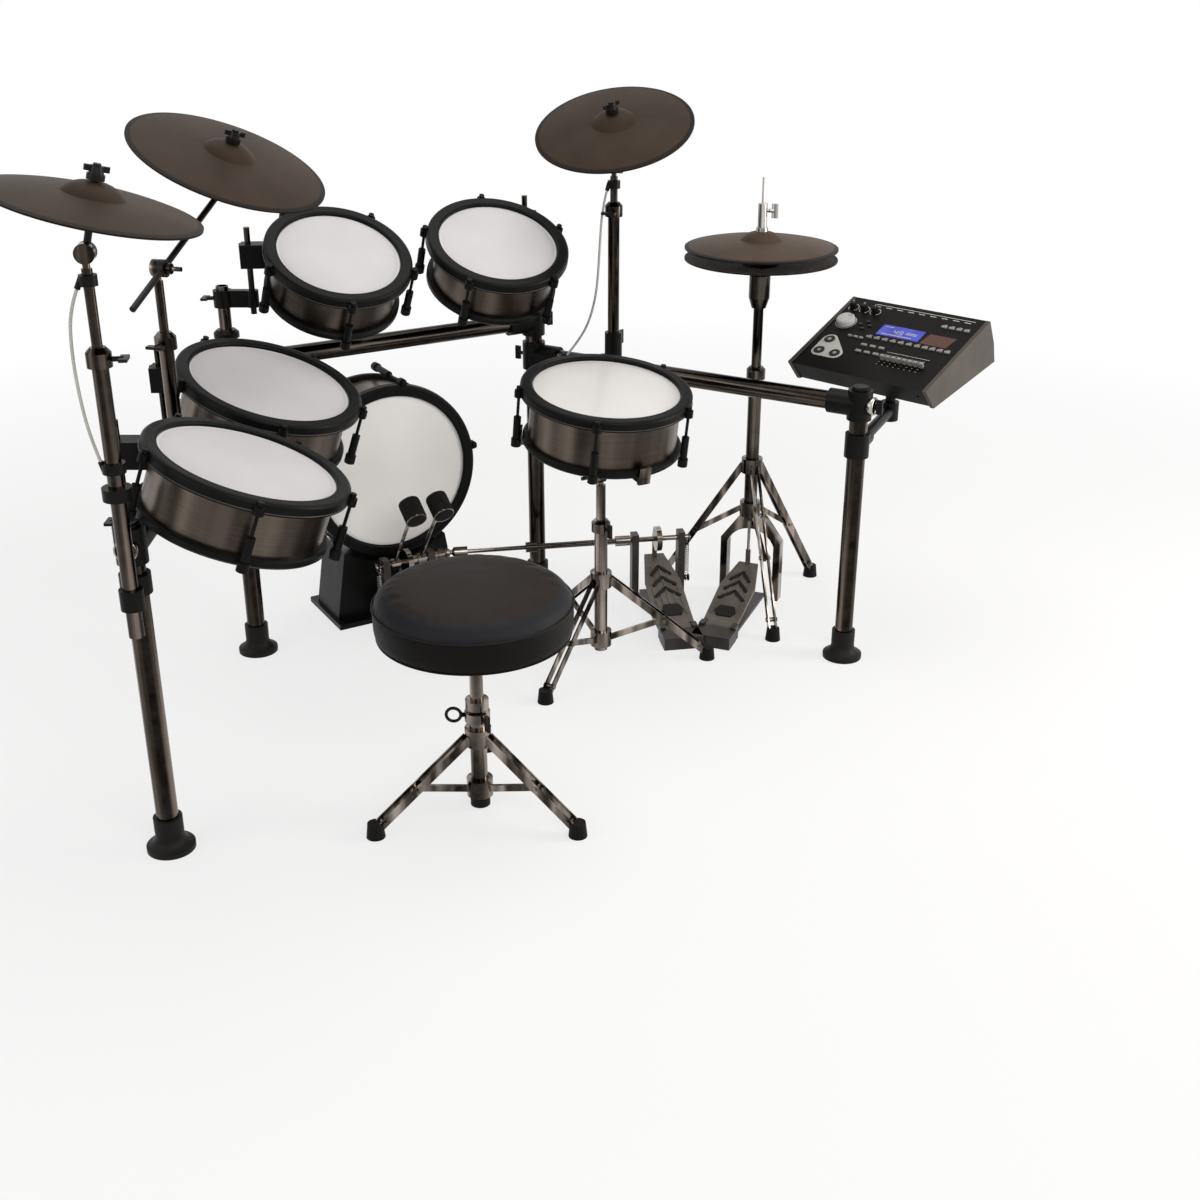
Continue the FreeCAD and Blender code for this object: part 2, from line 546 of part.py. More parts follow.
# Toms 1 and 2 hang on posts that stand in the rear legs
for tom, leg in (("tom1", "rear_left"), ("tom2", "rear_right")):
    centre = here(f"{tom}_x", f"{tom}_y", f"{tom}_z")
    aim = LEG[leg] - centre
    aim.z = 0
    pose = drum(f"tom_{tom[-1]}", "small_head", "small_depth", framed(centre, aim, TILT[tom]))
    middle = bracket(f"tom_{tom[-1]}", "small_head", pose, num("small_reach"))
    clamp_z = middle.z - num("bracket_tall / 2 + pair_tall / 2 + clamp_drop")
    rod_top = middle.z + num("bracket_tall / 2 + rod_above")
    tom_rod(f"{tom}_rod", middle, clamp_z - num("pair_tall") / 2 - 14, rod_top)
    post = along(UP, Vector(LEG[leg].x, LEG[leg].y, num("post_start")))
    post_long = clamp_z + num("pair_tall") / 2 + 8 - post.Base.z
    add("tom_rods", pipe(f"{tom}_post", "post_dia", "tube_wall", post_long, post))
    pair_clamp(f"{tom}_clamp", LEG[leg], "post_dia", middle, "tom_rod_dia", clamp_z)
    add("rack_clamps", lathe(f"{tom}_post_collar", [
        ("post_dia / 2 + tube_slack", 0), ("tube_dia / 2 + clamp_wall", 0),
        ("tube_dia / 2 + clamp_wall", 10), ("tube_dia / 2", 16), ("post_dia / 2 + tube_slack", 16)],
        turned(0, LEG[leg] + UP * num("far_leg_top"))))

# Toms 3 and 4 stand on rods clamped outside the left rail
for tom in ("tom3", "tom4"):
    centre = beside("front_left", f"{tom}_x", f"{tom}_y", f"{tom}_z")
    tilted = framed(centre, outward, TILT[tom])
    pose = drum(f"tom_{tom[-1]}", "large_head", "large_depth", tilted)
    inner = pose.multVec(Vector(0, 0, -num("bracket_drop")))
    flat_share = pose.Rotation.multVec(Vector(1, 0, 0)).dot(outward)
    distance, side = rail_frame("front_left", run, inner)
    reach = (num(f"{tom}_side") - side) / flat_share
    middle = bracket(f"tom_{tom[-1]}", "large_head", pose, reach)
    rail_z = num("side_rail_z")
    rod_top = middle.z + num("bracket_tall / 2 + rod_above")
    tom_rod(f"{tom}_rod", middle, rail_z - num("rod_below"), rod_top)
    distance, side = rail_frame("front_left", run, middle)
    cross_clamp(f"{tom}_clamp", LEG["front_left"] + run * distance + UP * rail_z, run, middle)

# Snare on its own stand
snare_at = framed(beside("front_right", "snare_x", "snare_y", "snare_z"),
                  Vector(0, -1, 0), Vector(0.013, -0.145, 0.989))
drum("snare", "large_head", "snare_depth", snare_at)

# Kick pad: head towards the player on a flared floor stand
kick_side = Rotation(Vector(0, -1, 0), num("kick_lug_turn")).multVec(Vector(1, 0, 0))
drum("kick", "kick_head", "kick_depth",
     framed(here(0, "kick_y", "kick_z"), kick_side, Vector(0, -1, 0)))
kick_back = "kick_y + kick_depth / 2 + kick_base_deep / 2"
tower = plate("kick_tower", [
    ("-kick_base_wide / 2", "kick_plate_tall"), ("kick_base_wide / 2", "kick_plate_tall"),
    ("kick_waist / 2", "kick_waist_z"), ("-kick_waist / 2", "kick_waist_z")],
    "kick_base_deep", turned(0, here(0, kick_back, 0)), "XZ_Plane")
clear_at = along(Vector(0, 1, 0), here(0, "kick_y", "kick_z"))
tower_cut = cut("kick_tower_cut", tower, centred(
    "kick_clear", f"kick_head + 2 * ({HOOP_OUT}) + 2 * lug_dia + 6", 600, clear_at))
saddle = box("kick_saddle", "kick_saddle_wide", "kick_base_deep * 0.7", "kick_z * 0.5",
             turned(0, here(0, "kick_y + kick_depth / 2", "kick_z * 0.2")))
saddle_cut = cut("kick_saddle_cut", saddle, centred("kick_seat", "kick_head - 4 + 0.4", 600, clear_at))
foot_plate = box("kick_plate", "kick_base_wide + 16", "kick_base_deep + 60", "kick_plate_tall",
                 turned(0, here(0, "kick_y + kick_depth / 2", 0)))
hollow_out = plate("kick_hollow", [
    ("-kick_base_wide / 2 + kick_wall", "kick_plate_tall"),
    ("kick_base_wide / 2 - kick_wall", "kick_plate_tall"),
    ("kick_waist / 2", "kick_waist_z * 0.5"), ("-kick_waist / 2", "kick_waist_z * 0.5")],
    "kick_base_deep - kick_wall + 1", turned(0, here(0, f"{kick_back} + 1", 0)), "XZ_Plane")
kick_solid = fuse("kick_stand_solid", tower_cut, saddle_cut, foot_plate)
add("kick_stand", cut("kick_floor_stand", kick_solid, hollow_out))


# Cymbal pads, their stacks of felts and their tilting arms
def cymbal(name, dia, at):
    """Bowed cymbal with a cup; its rim lies at height 0."""
    bow = (f"cup_dia / 4 + {dia} / 4", "bow_rise / 2 + 2.5")
    bow_top = (bow[0], "bow_rise / 2 + 2.5 + cymbal_thick")
    add(name, lathe(name, [
        (f"{dia} / 2", 0, bow), (f"{dia} / 2", "edge_thick"),
        ("cup_dia / 2 + 4", "bow_rise + cymbal_thick", bow_top),
        ("cymbal_hole / 2", "bow_rise + cup_rise", ("cup_dia * 0.38", "bow_rise + cup_rise * 0.72")),
        ("cymbal_hole / 2", "bow_rise + cup_rise - cymbal_thick"),
        ("cup_dia / 2 - 1", "bow_rise", ("cup_dia * 0.345", "bow_rise + cup_rise * 0.56"))], at))


FELT_LOW = "bow_rise + cup_rise - cymbal_thick - 2 - felt_gap - felt_tall"
FELT_HIGH = "bow_rise + cup_rise + felt_gap"
NUT_LOW = FELT_HIGH + " + felt_tall"


def felt(name, low, at):
    high = f"{low} + felt_tall"
    return lathe(name, [
        ("cymbal_rod / 2 + tube_slack", low), ("felt_dia / 2", low),
        ("felt_dia / 2", high), ("cymbal_rod / 2 + tube_slack", high)], at)


def cymbal_arm(name, joint, axis, rod_at, length, boom=None):
    """Tilting half of a cymbal mount: cheek, rod, washer, felts and wing nut."""
    cheek = centred(name + "_cheek", "tilter_dia", "cheek", along(axis, joint))
    rod_long = length + num(NUT_LOW + " + nut_tall + 3")
    rod = cylinder(name + "_rod", "cymbal_rod", rod_long, rod_at)
    top = rod_at.multiply(moved(0, 0, length))
    washer = lathe(name + "_washer", [
        (0, f"{FELT_LOW} - 5"), ("felt_dia / 2 + 2", f"{FELT_LOW} - 5"),
        ("felt_dia / 2 + 2", FELT_LOW), (0, FELT_LOW)], top)
    solids = [cheek, rod, washer]
    if boom:
        solids.append(boom)
    bore = centred(name + "_pin_bore", "pin_dia + 2 * running_slack", 80, along(axis, joint))
    nut = lathe(name + "_nut_barrel", [
        ("cymbal_rod / 2 + tube_slack", NUT_LOW), ("cymbal_rod", NUT_LOW),
        ("cymbal_rod * 0.8", f"{NUT_LOW} + nut_tall"),
        ("cymbal_rod / 2 + tube_slack", f"{NUT_LOW} + nut_tall")], top)
    wings = box(name + "_nut_wings", "wing_span * 1.2", "wing_thick", "nut_tall * 0.7",
                top.multiply(moved(0, 0, num(f"{NUT_LOW} + nut_tall * 0.3"))))
    nut_bore = centred(name + "_nut_bore", "cymbal_rod + 2 * tube_slack", 400, top)
    wings_cut = cut(name + "_nut_wings_cut", wings, nut_bore)
    add(f"{name}_arm", cut(name + "_arm_solid", fuse(name + "_arm_raw", *solids), bore),
        felt(name + "_felt_low", FELT_LOW, top), felt(name + "_felt_high", FELT_HIGH, top),
        fuse(name + "_nut", nut, wings_cut))
    return top


def mast(name, foot, base_z, collar_z, joint, axis):
    """Upright tube, collar and rod that end in the fixed half of a tilter with its pin."""
    base = along(UP, Vector(foot.x, foot.y, base_z))
    add("cymbal_masts", pipe(name + "_tube", "mast_dia", "tube_wall", collar_z - base_z, base))
    collar_at = along(UP, Vector(foot.x, foot.y, collar_z))
    add("cymbal_masts", lathe(name + "_collar", [
        ("mast_upper / 2 + tube_slack", 0), ("collar_dia / 2", 0), ("collar_dia / 2", "collar_tall - 8"),
        ("mast_upper / 2 + 4", "collar_tall"), ("mast_upper / 2 + tube_slack", "collar_tall")], collar_at))
    side = axis.cross(UP)
    bolt_z = collar_z + num("collar_tall") / 2 - 4
    tip = Vector(foot.x, foot.y, bolt_z) + side * (num("collar_dia / 2") + 0.1)
    add("rack_wing_bolts", wing_bolt(name + "_collar_bolt", tip, side, axis))
    add("cymbal_masts", tilter_post(name, foot, collar_z - 40, joint.z, "mast_upper", axis))


def tilter_post(name, foot, low, joint_z, dia, axis):
    """Upright rod that ends in the fixed cheek of a tilter, with its pin and tightening knob."""
    neck_low = joint_z - num("tilter_dia") / 2 - 6
    rod = cylinder(name + "_rod", dia, neck_low - low, along(UP, Vector(foot.x, foot.y, low)))
    neck_at = along(UP, Vector(foot.x, foot.y, neck_low))
    neck = cylinder(name + "_neck", "cheek - 1", joint_z - neck_low, neck_at)
    cheek_at = Vector(foot.x, foot.y, joint_z)
    cheek = centred(name + "_cheek", "tilter_dia", "cheek", along(axis, cheek_at))
    pin = cylinder(name + "_pin", "pin_dia", "2 * cheek + 22", along(axis, cheek_at))
    knob_at = along(axis, cheek_at + axis * num("1.5 * cheek + 2 * cheek_gap"))
    knob = cylinder(name + "_knob", "tilter_dia * 0.62", 9, knob_at)
    return fuse(name + "_top", rod, neck, cheek, pin, knob)


JOINTS = {}
OFF = num("cheek + cheek_gap")


def straight_mount(name, dia, centre, normal, length):
    """Cymbal whose rod rises straight from the tilter. Returns the mast's place."""
    axis = UP.cross(normal).normalize()
    joint = centre - normal * length
    top = cymbal_arm(name, joint, axis, along(normal, joint), length)
    cymbal(f"{name}_cymbal", dia, along(normal, centre))
    JOINTS[name] = (joint, axis, top)
    return joint - axis * OFF, axis, joint


left_normal = Vector(0.232, -0.099, 0.968).normalize()
left_centre = beside("front_left", "crash_left_x", "crash_left_y", "crash_left_z")
left_foot, axis, joint = straight_mount("crash_left", "crash_left_dia", left_centre, left_normal,
                                        num("drop_short"))
mast("crash_left_mast", left_foot, num("mast_left_foot"), num("mast_left_collar"), joint, axis)
pair_clamp("crash_left_clamp", LEG["front_left"], "tube_dia", left_foot, "mast_dia",
           num("mast_left_clamp"))
add("rack_clamps", lathe("crash_left_stop", [
    ("mast_dia / 2 + tube_slack", 0), ("collar_dia / 2 + 4", 0), ("collar_dia / 2 + 4", 20),
    ("mast_dia / 2 + tube_slack", 20)], along(UP, Vector(left_foot.x, left_foot.y, num("near_stop_z")))))

right_normal = Vector(-0.307, -0.265, 0.914).normalize()
right_point = LEG["rear_right"] + mirror_run * num("crash_right_along") + UP * num("side_rail_z")
right_axis = UP.cross(right_normal).normalize()
right_joint = Vector(right_point.x, right_point.y, num("crash_right_joint_z")) + right_axis * OFF
right_centre = right_joint + right_normal * num("drop_long")
right_foot, axis, joint = straight_mount("crash_right", "crash_right_dia", right_centre, right_normal,
                                         num("drop_long"))
rail_socket("crash_right_socket", right_point, mirror_run)
mast("crash_right_mast", right_foot, right_point.z + num("socket_gap"), num("mast_right_collar"),
     joint, axis)

# The ride hangs on a boom that runs through its tilter
ride_normal = Vector(0.249, -0.327, 0.912).normalize()
ride_centre = beside("front_left", "ride_x", "ride_y", "ride_z")
ride_point = LEG["front_left"] + run * num("ride_mast_along") + UP * num("side_rail_z")
rail_socket("ride_socket", ride_point, run)
boom_end = ride_centre - ride_normal * num("drop_short")
mast_top = Vector(ride_point.x, ride_point.y, num("ride_tilter_z"))
flat = Vector(boom_end.x - mast_top.x, boom_end.y - mast_top.y, 0)
ride_axis = Rotation(UP, -math.degrees(math.acos(OFF / flat.Length))).multVec(flat).normalize()
ride_joint = mast_top + ride_axis * OFF
reach = boom_end - ride_joint
boom_way = Vector(reach).normalize()
boom = cylinder("ride_boom", "boom_dia", reach.Length + num("boom_tail"),
                along(boom_way, ride_joint - boom_way * num("boom_tail")))
elbow = doc.addObject("Part::Sphere", "ride_elbow")
elbow.setExpression("Radius", bound("boom_dia * 0.8"))
elbow.Placement = Placement(boom_end, Rotation())
ride_top = cymbal_arm("ride", ride_joint, ride_axis, along(ride_normal, boom_end), num("drop_short"),
                      fuse("ride_boom_elbow", boom, elbow))
cymbal("ride_cymbal", "ride_dia", along(ride_normal, ride_centre))
JOINTS["ride"] = (ride_joint, ride_axis, ride_top)
mast("ride_mast", ride_point, ride_point.z + num("socket_gap"), num("mast_ride_collar"),
     ride_joint, ride_axis)


# Tripods: double straps from an upper hub to rubber feet, with braces from a lower hub
def sloped(start, end):
    """Placement in the XZ plane whose local X runs from one point to another."""
    way = end - start
    return Placement(start, Rotation(Vector(0, 1, 0), -math.degrees(math.atan2(way.z, way.x))))


def tripod(label, name, axis_at, reach, first_turn, tube, high, low, meet=0.55):
    solids = []
    pucks = []
    for level, height in (("high", high), ("low", low)):
        at = along(UP, axis_at + UP * num(height))
        ring = centred(f"{name}_{level}_ring", f"{tube} + 2 * hub_wall", "hub_tall", at)
        solids.append(ring)
    for index in range(3):
        turn_at = turned(num(first_turn) + 120 * index, axis_at)
        inner = Vector(num(f"{tube} / 2 + hub_wall - 4"), 0, num(high))
        outer = Vector(num(reach), 0, num("puck_tall * 0.55"))
        way = outer - inner
        leg_at = turn_at.multiply(sloped(inner, outer))
        for side, mark in ((-1, "a"), (1, "b")):
            at = leg_at.multiply(moved(0, side * num("strap_space") / 2, 0))
            solids.append(box(f"{name}_strap{index}{mark}", way.Length, "strap_thick", "strap_wide",
                              at, "yz"))
        knee = inner + way * meet
        root = Vector(inner.x, 0, num(low))
        solids.append(box(f"{name}_brace{index}", (knee - root).Length + 6, "brace_thick",
                          "strap_wide * 0.8", turn_at.multiply(sloped(root, knee)), "yz"))
        for spot, where in ((knee, "knee"), (outer - way * 0.08, "toe")):
            pivot = turn_at.multiply(Placement(spot, Rotation(Vector(1, 0, 0), 90)))
            solids.append(centred(f"{name}_{where}{index}", "bolt_dia + 2",
                                  "strap_space + strap_thick + 6", pivot))
        pucks.append((index, turn_at.multiply(moved(num(reach), 0, 0))))
    bore = cylinder(f"{name}_hub_bore", f"{tube} + 2 * tube_slack", 600, along(UP, axis_at))
    frame = cut(f"{name}_frame", fuse(f"{name}_frame_raw", *solids), bore)
    add(label, frame)
    for index, at in pucks:
        puck = lathe(f"{name}_puck{index}", [
            (0, 0), ("puck_dia / 2", 0), ("puck_dia / 2 - 3", "puck_tall"), (0, "puck_tall")], at)
        add("stand_feet", cut(f"{name}_foot{index}", puck, frame))
    return frame


# Hi-hat: stand, yoke, two cymbals and the pull rod with its clutch
hat = beside("front_right", "hat_x", "hat_y", 0)
hat_upright = along(UP, hat)
hat_way = Rotation(UP, num("hat_heading")).multVec(Vector(1, 0, 0))
tripod("hihat_stand", "hat", hat, "hat_reach", "hat_turn", "hat_wide_dia",
       "hat_hub_z", "hat_low_z")
HAT_BORE = "hat_rod_dia + 2 * running_slack + 1"
HAT_SEAT = "hat_z - hat_gap - bow_rise - cup_rise - tube_slack"


def hat_lathe(name, corners):
    return lathe(name, corners, hat_upright)


add("hihat_stand", hat_lathe("hat_lower_tube", [
    ("hat_tube_dia / 2 + tube_slack", "yoke_top"), ("hat_wide_dia / 2", "yoke_top"),
    ("hat_wide_dia / 2", "hat_joint_z"), ("hat_tube_dia / 2 + tube_slack", "hat_joint_z")]))
add("hihat_stand", hat_lathe("hat_upper_tube", [
    (f"({HAT_BORE}) / 2", "hat_joint_z - 150"), ("hat_tube_dia / 2", "hat_joint_z - 150"),
    ("hat_tube_dia / 2", "hat_tube_top"), (f"({HAT_BORE}) / 2", "hat_tube_top")]))
add("hihat_stand", hat_lathe("hat_joint_collar", [
    ("hat_tube_dia / 2 + tube_slack", "hat_joint_z"), ("hat_wide_dia / 2 + 6", "hat_joint_z"),
    ("hat_wide_dia / 2 + 6", "hat_joint_z + 22"), ("hat_tube_dia / 2 + 4", "hat_joint_z + 28"),
    ("hat_tube_dia / 2 + tube_slack", "hat_joint_z + 28")]))
hat_side = Vector(-hat_way.y, hat_way.x, 0)
hat_tip = hat - hat_way * (num("hat_wide_dia / 2 + 6") + 0.1) + UP * num("hat_joint_z + 11")
add("rack_wing_bolts", wing_bolt("hat_joint_bolt", hat_tip, -hat_way, UP))
add("hihat_stand", hat_lathe("hat_sensor_cup", [
    (f"({HAT_BORE}) / 2", "hat_tube_top"), ("hat_tube_dia / 2 + 5", "hat_tube_top"),
    ("cup_base_dia / 2", "hat_tube_top + 22"), ("cup_base_dia / 2", HAT_SEAT),
    (f"({HAT_BORE}) / 2", HAT_SEAT)]))
yoke_at = Placement(hat + hat_way * (num("yoke_bar") * 0.9), Rotation(UP, num("hat_heading") + 90))
yoke = plate("hat_yoke_arch", [
    ("-yoke_wide / 2 - yoke_bar", 0), ("-yoke_wide / 2", 0), ("-yoke_wide / 2", "yoke_top - 70"),
    ("yoke_wide / 2", "yoke_top - 70", ("0", "yoke_top - 30")), ("yoke_wide / 2", 0),
    ("yoke_wide / 2 + yoke_bar", 0), ("yoke_wide / 2 + yoke_bar", "yoke_top - 60"),
    ("yoke_wide / 4", "yoke_top"), ("-yoke_wide / 4", "yoke_top"),
    ("-yoke_wide / 2 - yoke_bar", "yoke_top - 60")], "yoke_bar * 1.8", yoke_at, "XZ_Plane")
add("hihat_stand", cut("hat_yoke", yoke, centred("hat_yoke_bore", HAT_BORE, 700, hat_upright)))
cymbal("hihat_top", "hat_dia", along(UP, hat + UP * num("hat_z")))
cymbal("hihat_bottom", "hat_dia", along(-UP, hat + UP * num("hat_z - hat_gap")))
add("hihat_rod", hat_lathe("hat_pull_rod", [
    (0, "hat_rod_low"), ("hat_rod_dia / 2", "hat_rod_low"), ("hat_rod_dia / 2", "hat_rod_top"),
    (0, "hat_rod_top")]))
CLUTCH = "hat_z + bow_rise + cup_rise + tube_slack"
add("hihat_rod", hat_lathe("hat_clutch", [
    ("hat_rod_dia / 2 + tube_slack", f"{CLUTCH} - 14"), ("cymbal_hole / 2 - 0.6", f"{CLUTCH} - 14"),
    ("cymbal_hole / 2 - 0.6", CLUTCH), ("felt_dia / 2", CLUTCH),
    ("felt_dia / 2", f"{CLUTCH} + felt_tall"), ("clutch_dia / 2", f"{CLUTCH} + felt_tall"),
    ("clutch_dia / 2", f"{CLUTCH} + clutch_tall"),
    ("hat_rod_dia / 2 + tube_slack", f"{CLUTCH} + clutch_tall")]))
clutch_tip = hat - hat_side * (num("clutch_dia / 2") + 0.1) + UP * num(f"{CLUTCH} + clutch_tall - 14")
add("hihat_rod", wing_bolt("hat_clutch_bolt", clutch_tip, -hat_side, UP))

# Snare stand: tripod, telescoping tubes, tilter and a basket with three lips
stand = beside("front_right", "snare_stand_x", "snare_stand_y", 0)
stand_upright = along(UP, stand)
tripod("snare_stand", "snare_base", stand, "snare_reach", "snare_turn", "snare_tube_dia",
       "snare_hub_z", "snare_low_z")
SNARE_BORE = "snare_inner_dia / 2 + tube_slack"
add("snare_stand", lathe("snare_lower_tube", [
    (SNARE_BORE, 24), ("snare_tube_dia / 2", 24), ("snare_tube_dia / 2", "snare_mid_z"),
    (SNARE_BORE, "snare_mid_z")], stand_upright))
add("snare_stand", lathe("snare_mid_collar", [
    (SNARE_BORE, "snare_mid_z"), ("snare_tube_dia / 2 + 6", "snare_mid_z"),
    ("snare_tube_dia / 2 + 6", "snare_mid_z + 20"), ("snare_inner_dia / 2 + 4", "snare_mid_z + 26"),
    (SNARE_BORE, "snare_mid_z + 26")], stand_upright))
snare_tip = stand + Vector(0, -num("snare_tube_dia / 2 + 6") - 0.1, num("snare_mid_z + 10"))
add("rack_wing_bolts", wing_bolt("snare_mid_bolt", snare_tip, Vector(0, -1, 0), UP))
snare_axis = Vector(-1, 0, 0)
snare_joint = stand + UP * num("snare_top_z") + snare_axis * OFF
add("snare_stand", tilter_post("snare_tilter", stand, num("snare_mid_z - 120"), num("snare_top_z"),
                               "snare_inner_dia", snare_axis))
SNARE_UNDER = "-snare_depth - base_tall + base_lap"
hub_at = snare_at.multiply(moved(0, 0, num(f"{SNARE_UNDER} - basket_arm - 14")))
basket = [cylinder("basket_hub", "tilt_barrel * 2", "basket_arm + 14", hub_at)]
for index in range(3):
    arm_at = snare_at.multiply(turned(120 * index)).multiply(
        moved(0, 0, num(f"{SNARE_UNDER} - basket_arm")))
    basket.append(box(f"basket_arm{index}", "large_head / 2 + base_wide + 6", 18, "basket_arm",
                      arm_at, "y"))
    lip_at = arm_at.multiply(moved(num("large_head / 2 + base_wide - 1.6"), 0, 0))
    basket.append(box(f"basket_lip{index}", 7, "basket_lip", "basket_arm + 24", lip_at, "y"))
hub_way = hub_at.Base - snare_joint
stem = box("basket_stem", "cheek - 4", "tilt_barrel", hub_way.Length + 4,
           framed(snare_joint, snare_axis, hub_way))
swing_at = along(snare_axis, snare_joint)
swing = centred("snare_swing_cheek", "tilter_dia", "cheek", swing_at)
swing_bore = centred("snare_swing_bore", "pin_dia + 2 * running_slack", 90, swing_at)
basket_raw = fuse("snare_basket_raw", stem, swing, *basket)
add("snare_basket", cut("snare_basket_solid", basket_raw, swing_bore))


# Pedals: floor plate, heel block, hinged footboard with a chain, and posts for an axle
def pedal(name, at, heel, rise, chain_x, chain_y, chain_top, axle_bores=()):
    """Frame and footboard. Local X runs from heel to toe, the axle stands over the local origin."""
    back = -num(heel) - num("heel_long")
    back_at = at.multiply(moved(back, 0, 0))
    solids = [box(f"{name}_plate", 35 - back, "board_wide * 0.8", "pedal_plate", back_at, "y"),
              box(f"{name}_heel", "heel_long - 10", "board_wide", "heel_z + 4", back_at, "y")]
    hinge = at.multiply(moved(-num(heel), 0, num("heel_z")))
    across = hinge.multiply(Placement(Vector(), Rotation(Vector(1, 0, 0), 90)))
    for side, mark in ((-1, "a"), (1, "b")):
        ear = at.multiply(moved(-num(heel) - 2, side * num("board_wide / 2 - 7"), 0))
        solids.append(box(f"{name}_ear{mark}", 24, 12, "heel_z + 9", ear))
    solids.append(centred(f"{name}_pin", "pin_rod", "board_wide - 6", across))
    lift = at.multiply(moved(0, 0, num("axle_z")))
    bores = []
    for side, mark, dia in axle_bores:
        spot = moved(0, side * num("post_gap") / 2, 0)
        solids.append(box(f"{name}_post{mark}", 28, "pedal_post", "axle_z + 16", at.multiply(spot)))
        bore_at = lift.multiply(Placement(spot.Base, Rotation(Vector(1, 0, 0), 90)))
        bores.append(centred(f"{name}_post_bore{mark}", f"{dia} + 2 * running_slack",
                             "pedal_post + 4", bore_at))
    if axle_bores:
        solids.append(box(f"{name}_bridge", 34, "post_gap + pedal_post", "pedal_plate", at))
    frame = fuse(f"{name}_frame_raw", *solids)
    add("pedal_frames", cut(f"{name}_frame", frame, *bores) if bores else frame)
    run_out = num(heel) + chain_x + 9
    slope = math.degrees(math.atan2(num(rise) - num("heel_z"), run_out))
    tilt = hinge.multiply(Placement(Vector(), Rotation(Vector(0, 1, 0), -slope)))
    length = run_out / math.cos(math.radians(slope))
    lowered = tilt.multiply(moved(0, 0, -num("board_thick") / 2))
    widest = length * 0.62
    board = plate(f"{name}_board", [
        (16, "-board_wide / 2 + 4"), (widest, "-board_wide / 2 + 2"), (length, "-board_toe / 2"),
        (length, "board_toe / 2"), (widest, "board_wide / 2 - 2"), (16, "board_wide / 2 - 4")],
        "board_thick", lowered)
    knuckle = centred(f"{name}_knuckle", "pin_rod + 8", "board_wide - 29", across)
    tongue = box(f"{name}_tongue", 22, "board_wide - 29", "board_thick", lowered, "y")
    pieces = [board, knuckle, tongue]
    for row in range(-2, 3):
        rib_at = moved(length * 0.16, row * num("rib_step"), num("board_thick") - 0.5)
        rib_long = length * (0.66 if abs(row) < 2 else 0.44)
        pieces.append(box(f"{name}_rib{row + 2}", rib_long, "rib_wide", "rib_tall + 0.5",
                          lowered.multiply(rib_at), "y"))
    link_low = num(rise) - 6
    link = at.multiply(moved(chain_x, chain_y, link_low))
    pieces.append(box(f"{name}_chain", "chain_thick", "chain_wide", num(chain_top) - link_low, link))
    pin_bore = centred(f"{name}_pin_bore", "pin_rod + 2 * running_slack", "board_wide + 20", across)
    raw = fuse(f"{name}_footboard_raw", *pieces)
    add(f"{name}_footboard", cut(f"{name}_footboard", raw, pin_bore))
    return hinge.Base, lift


def beater(name, lift, side):
    """Rod and felt head that rise from the axle, leaning back towards the heel."""
    foot = lift.multiply(moved(0, side, 0))
    leaned = foot.multiply(Placement(Vector(), Rotation(Vector(0, 1, 0), -num("beater_lean"))))
    rod = cylinder(f"{name}_rod", "beater_rod", "beater_long + 24", leaned)
    strike = Placement(UP * num("beater_long"), Rotation(Vector(0, 1, 0), 90))
    head = centred(f"{name}_head", "beater_dia", "beater_wide", leaned.multiply(strike))
    sideways = foot.multiply(Placement(Vector(), Rotation(Vector(1, 0, 0), 90)))
    hub = centred(f"{name}_hub", "axle_dia + 14", 20, sideways)
    return [rod, head, hub]


def across_axle(lift, y):
    """Placement on the axle whose local Z runs along the local Y of the pedal."""
    return lift.multiply(Placement(Vector(0, y, 0), Rotation(Vector(1, 0, 0), -90)))


SLEEVE_DIA = "axle_dia + 8"
CHAIN_X = num("cam_dia / 2 + chain_thick / 2 + 1")
kick_pedal_at = turned(90, here(0, "kick_axle_y", 0))
kick_hinge, kick_lift = pedal("kick", kick_pedal_at, "pedal_long - 36", "toe_z", CHAIN_X, 2, "axle_z",
                              ((1, "b", "axle_dia"), (-1, "a", SLEEVE_DIA)))
post_side = num("post_gap") / 2
axle = cylinder("kick_axle", "axle_dia", "post_gap + 26", across_axle(kick_lift, -post_side - 12))
cam = centred("kick_cam", "cam_dia", "cam_wide", across_axle(kick_lift, 2))
main_beater = beater("kick_beater", kick_lift, num("beater_side"))
add("kick_beater", fuse("kick_beater_solid", axle, cam, *main_beater))
sleeve_end = -post_side - 34
sleeve = cylinder("second_sleeve", SLEEVE_DIA, -12 - sleeve_end, across_axle(kick_lift, sleeve_end))
yoke_end = cylinder("second_yoke", "joint_dia", 16, across_axle(kick_lift, sleeve_end))
sleeve_bore = cylinder("second_bore", "axle_dia + 2 * running_slack", 200,
                       across_axle(kick_lift, -post_side - 14))
second_beater = beater("second_beater", kick_lift, -num("beater_side"))
second_raw = fuse("second_beater_raw", sleeve, yoke_end, *second_beater)
add("second_beater", cut("second_beater_solid", second_raw, sleeve_bore))

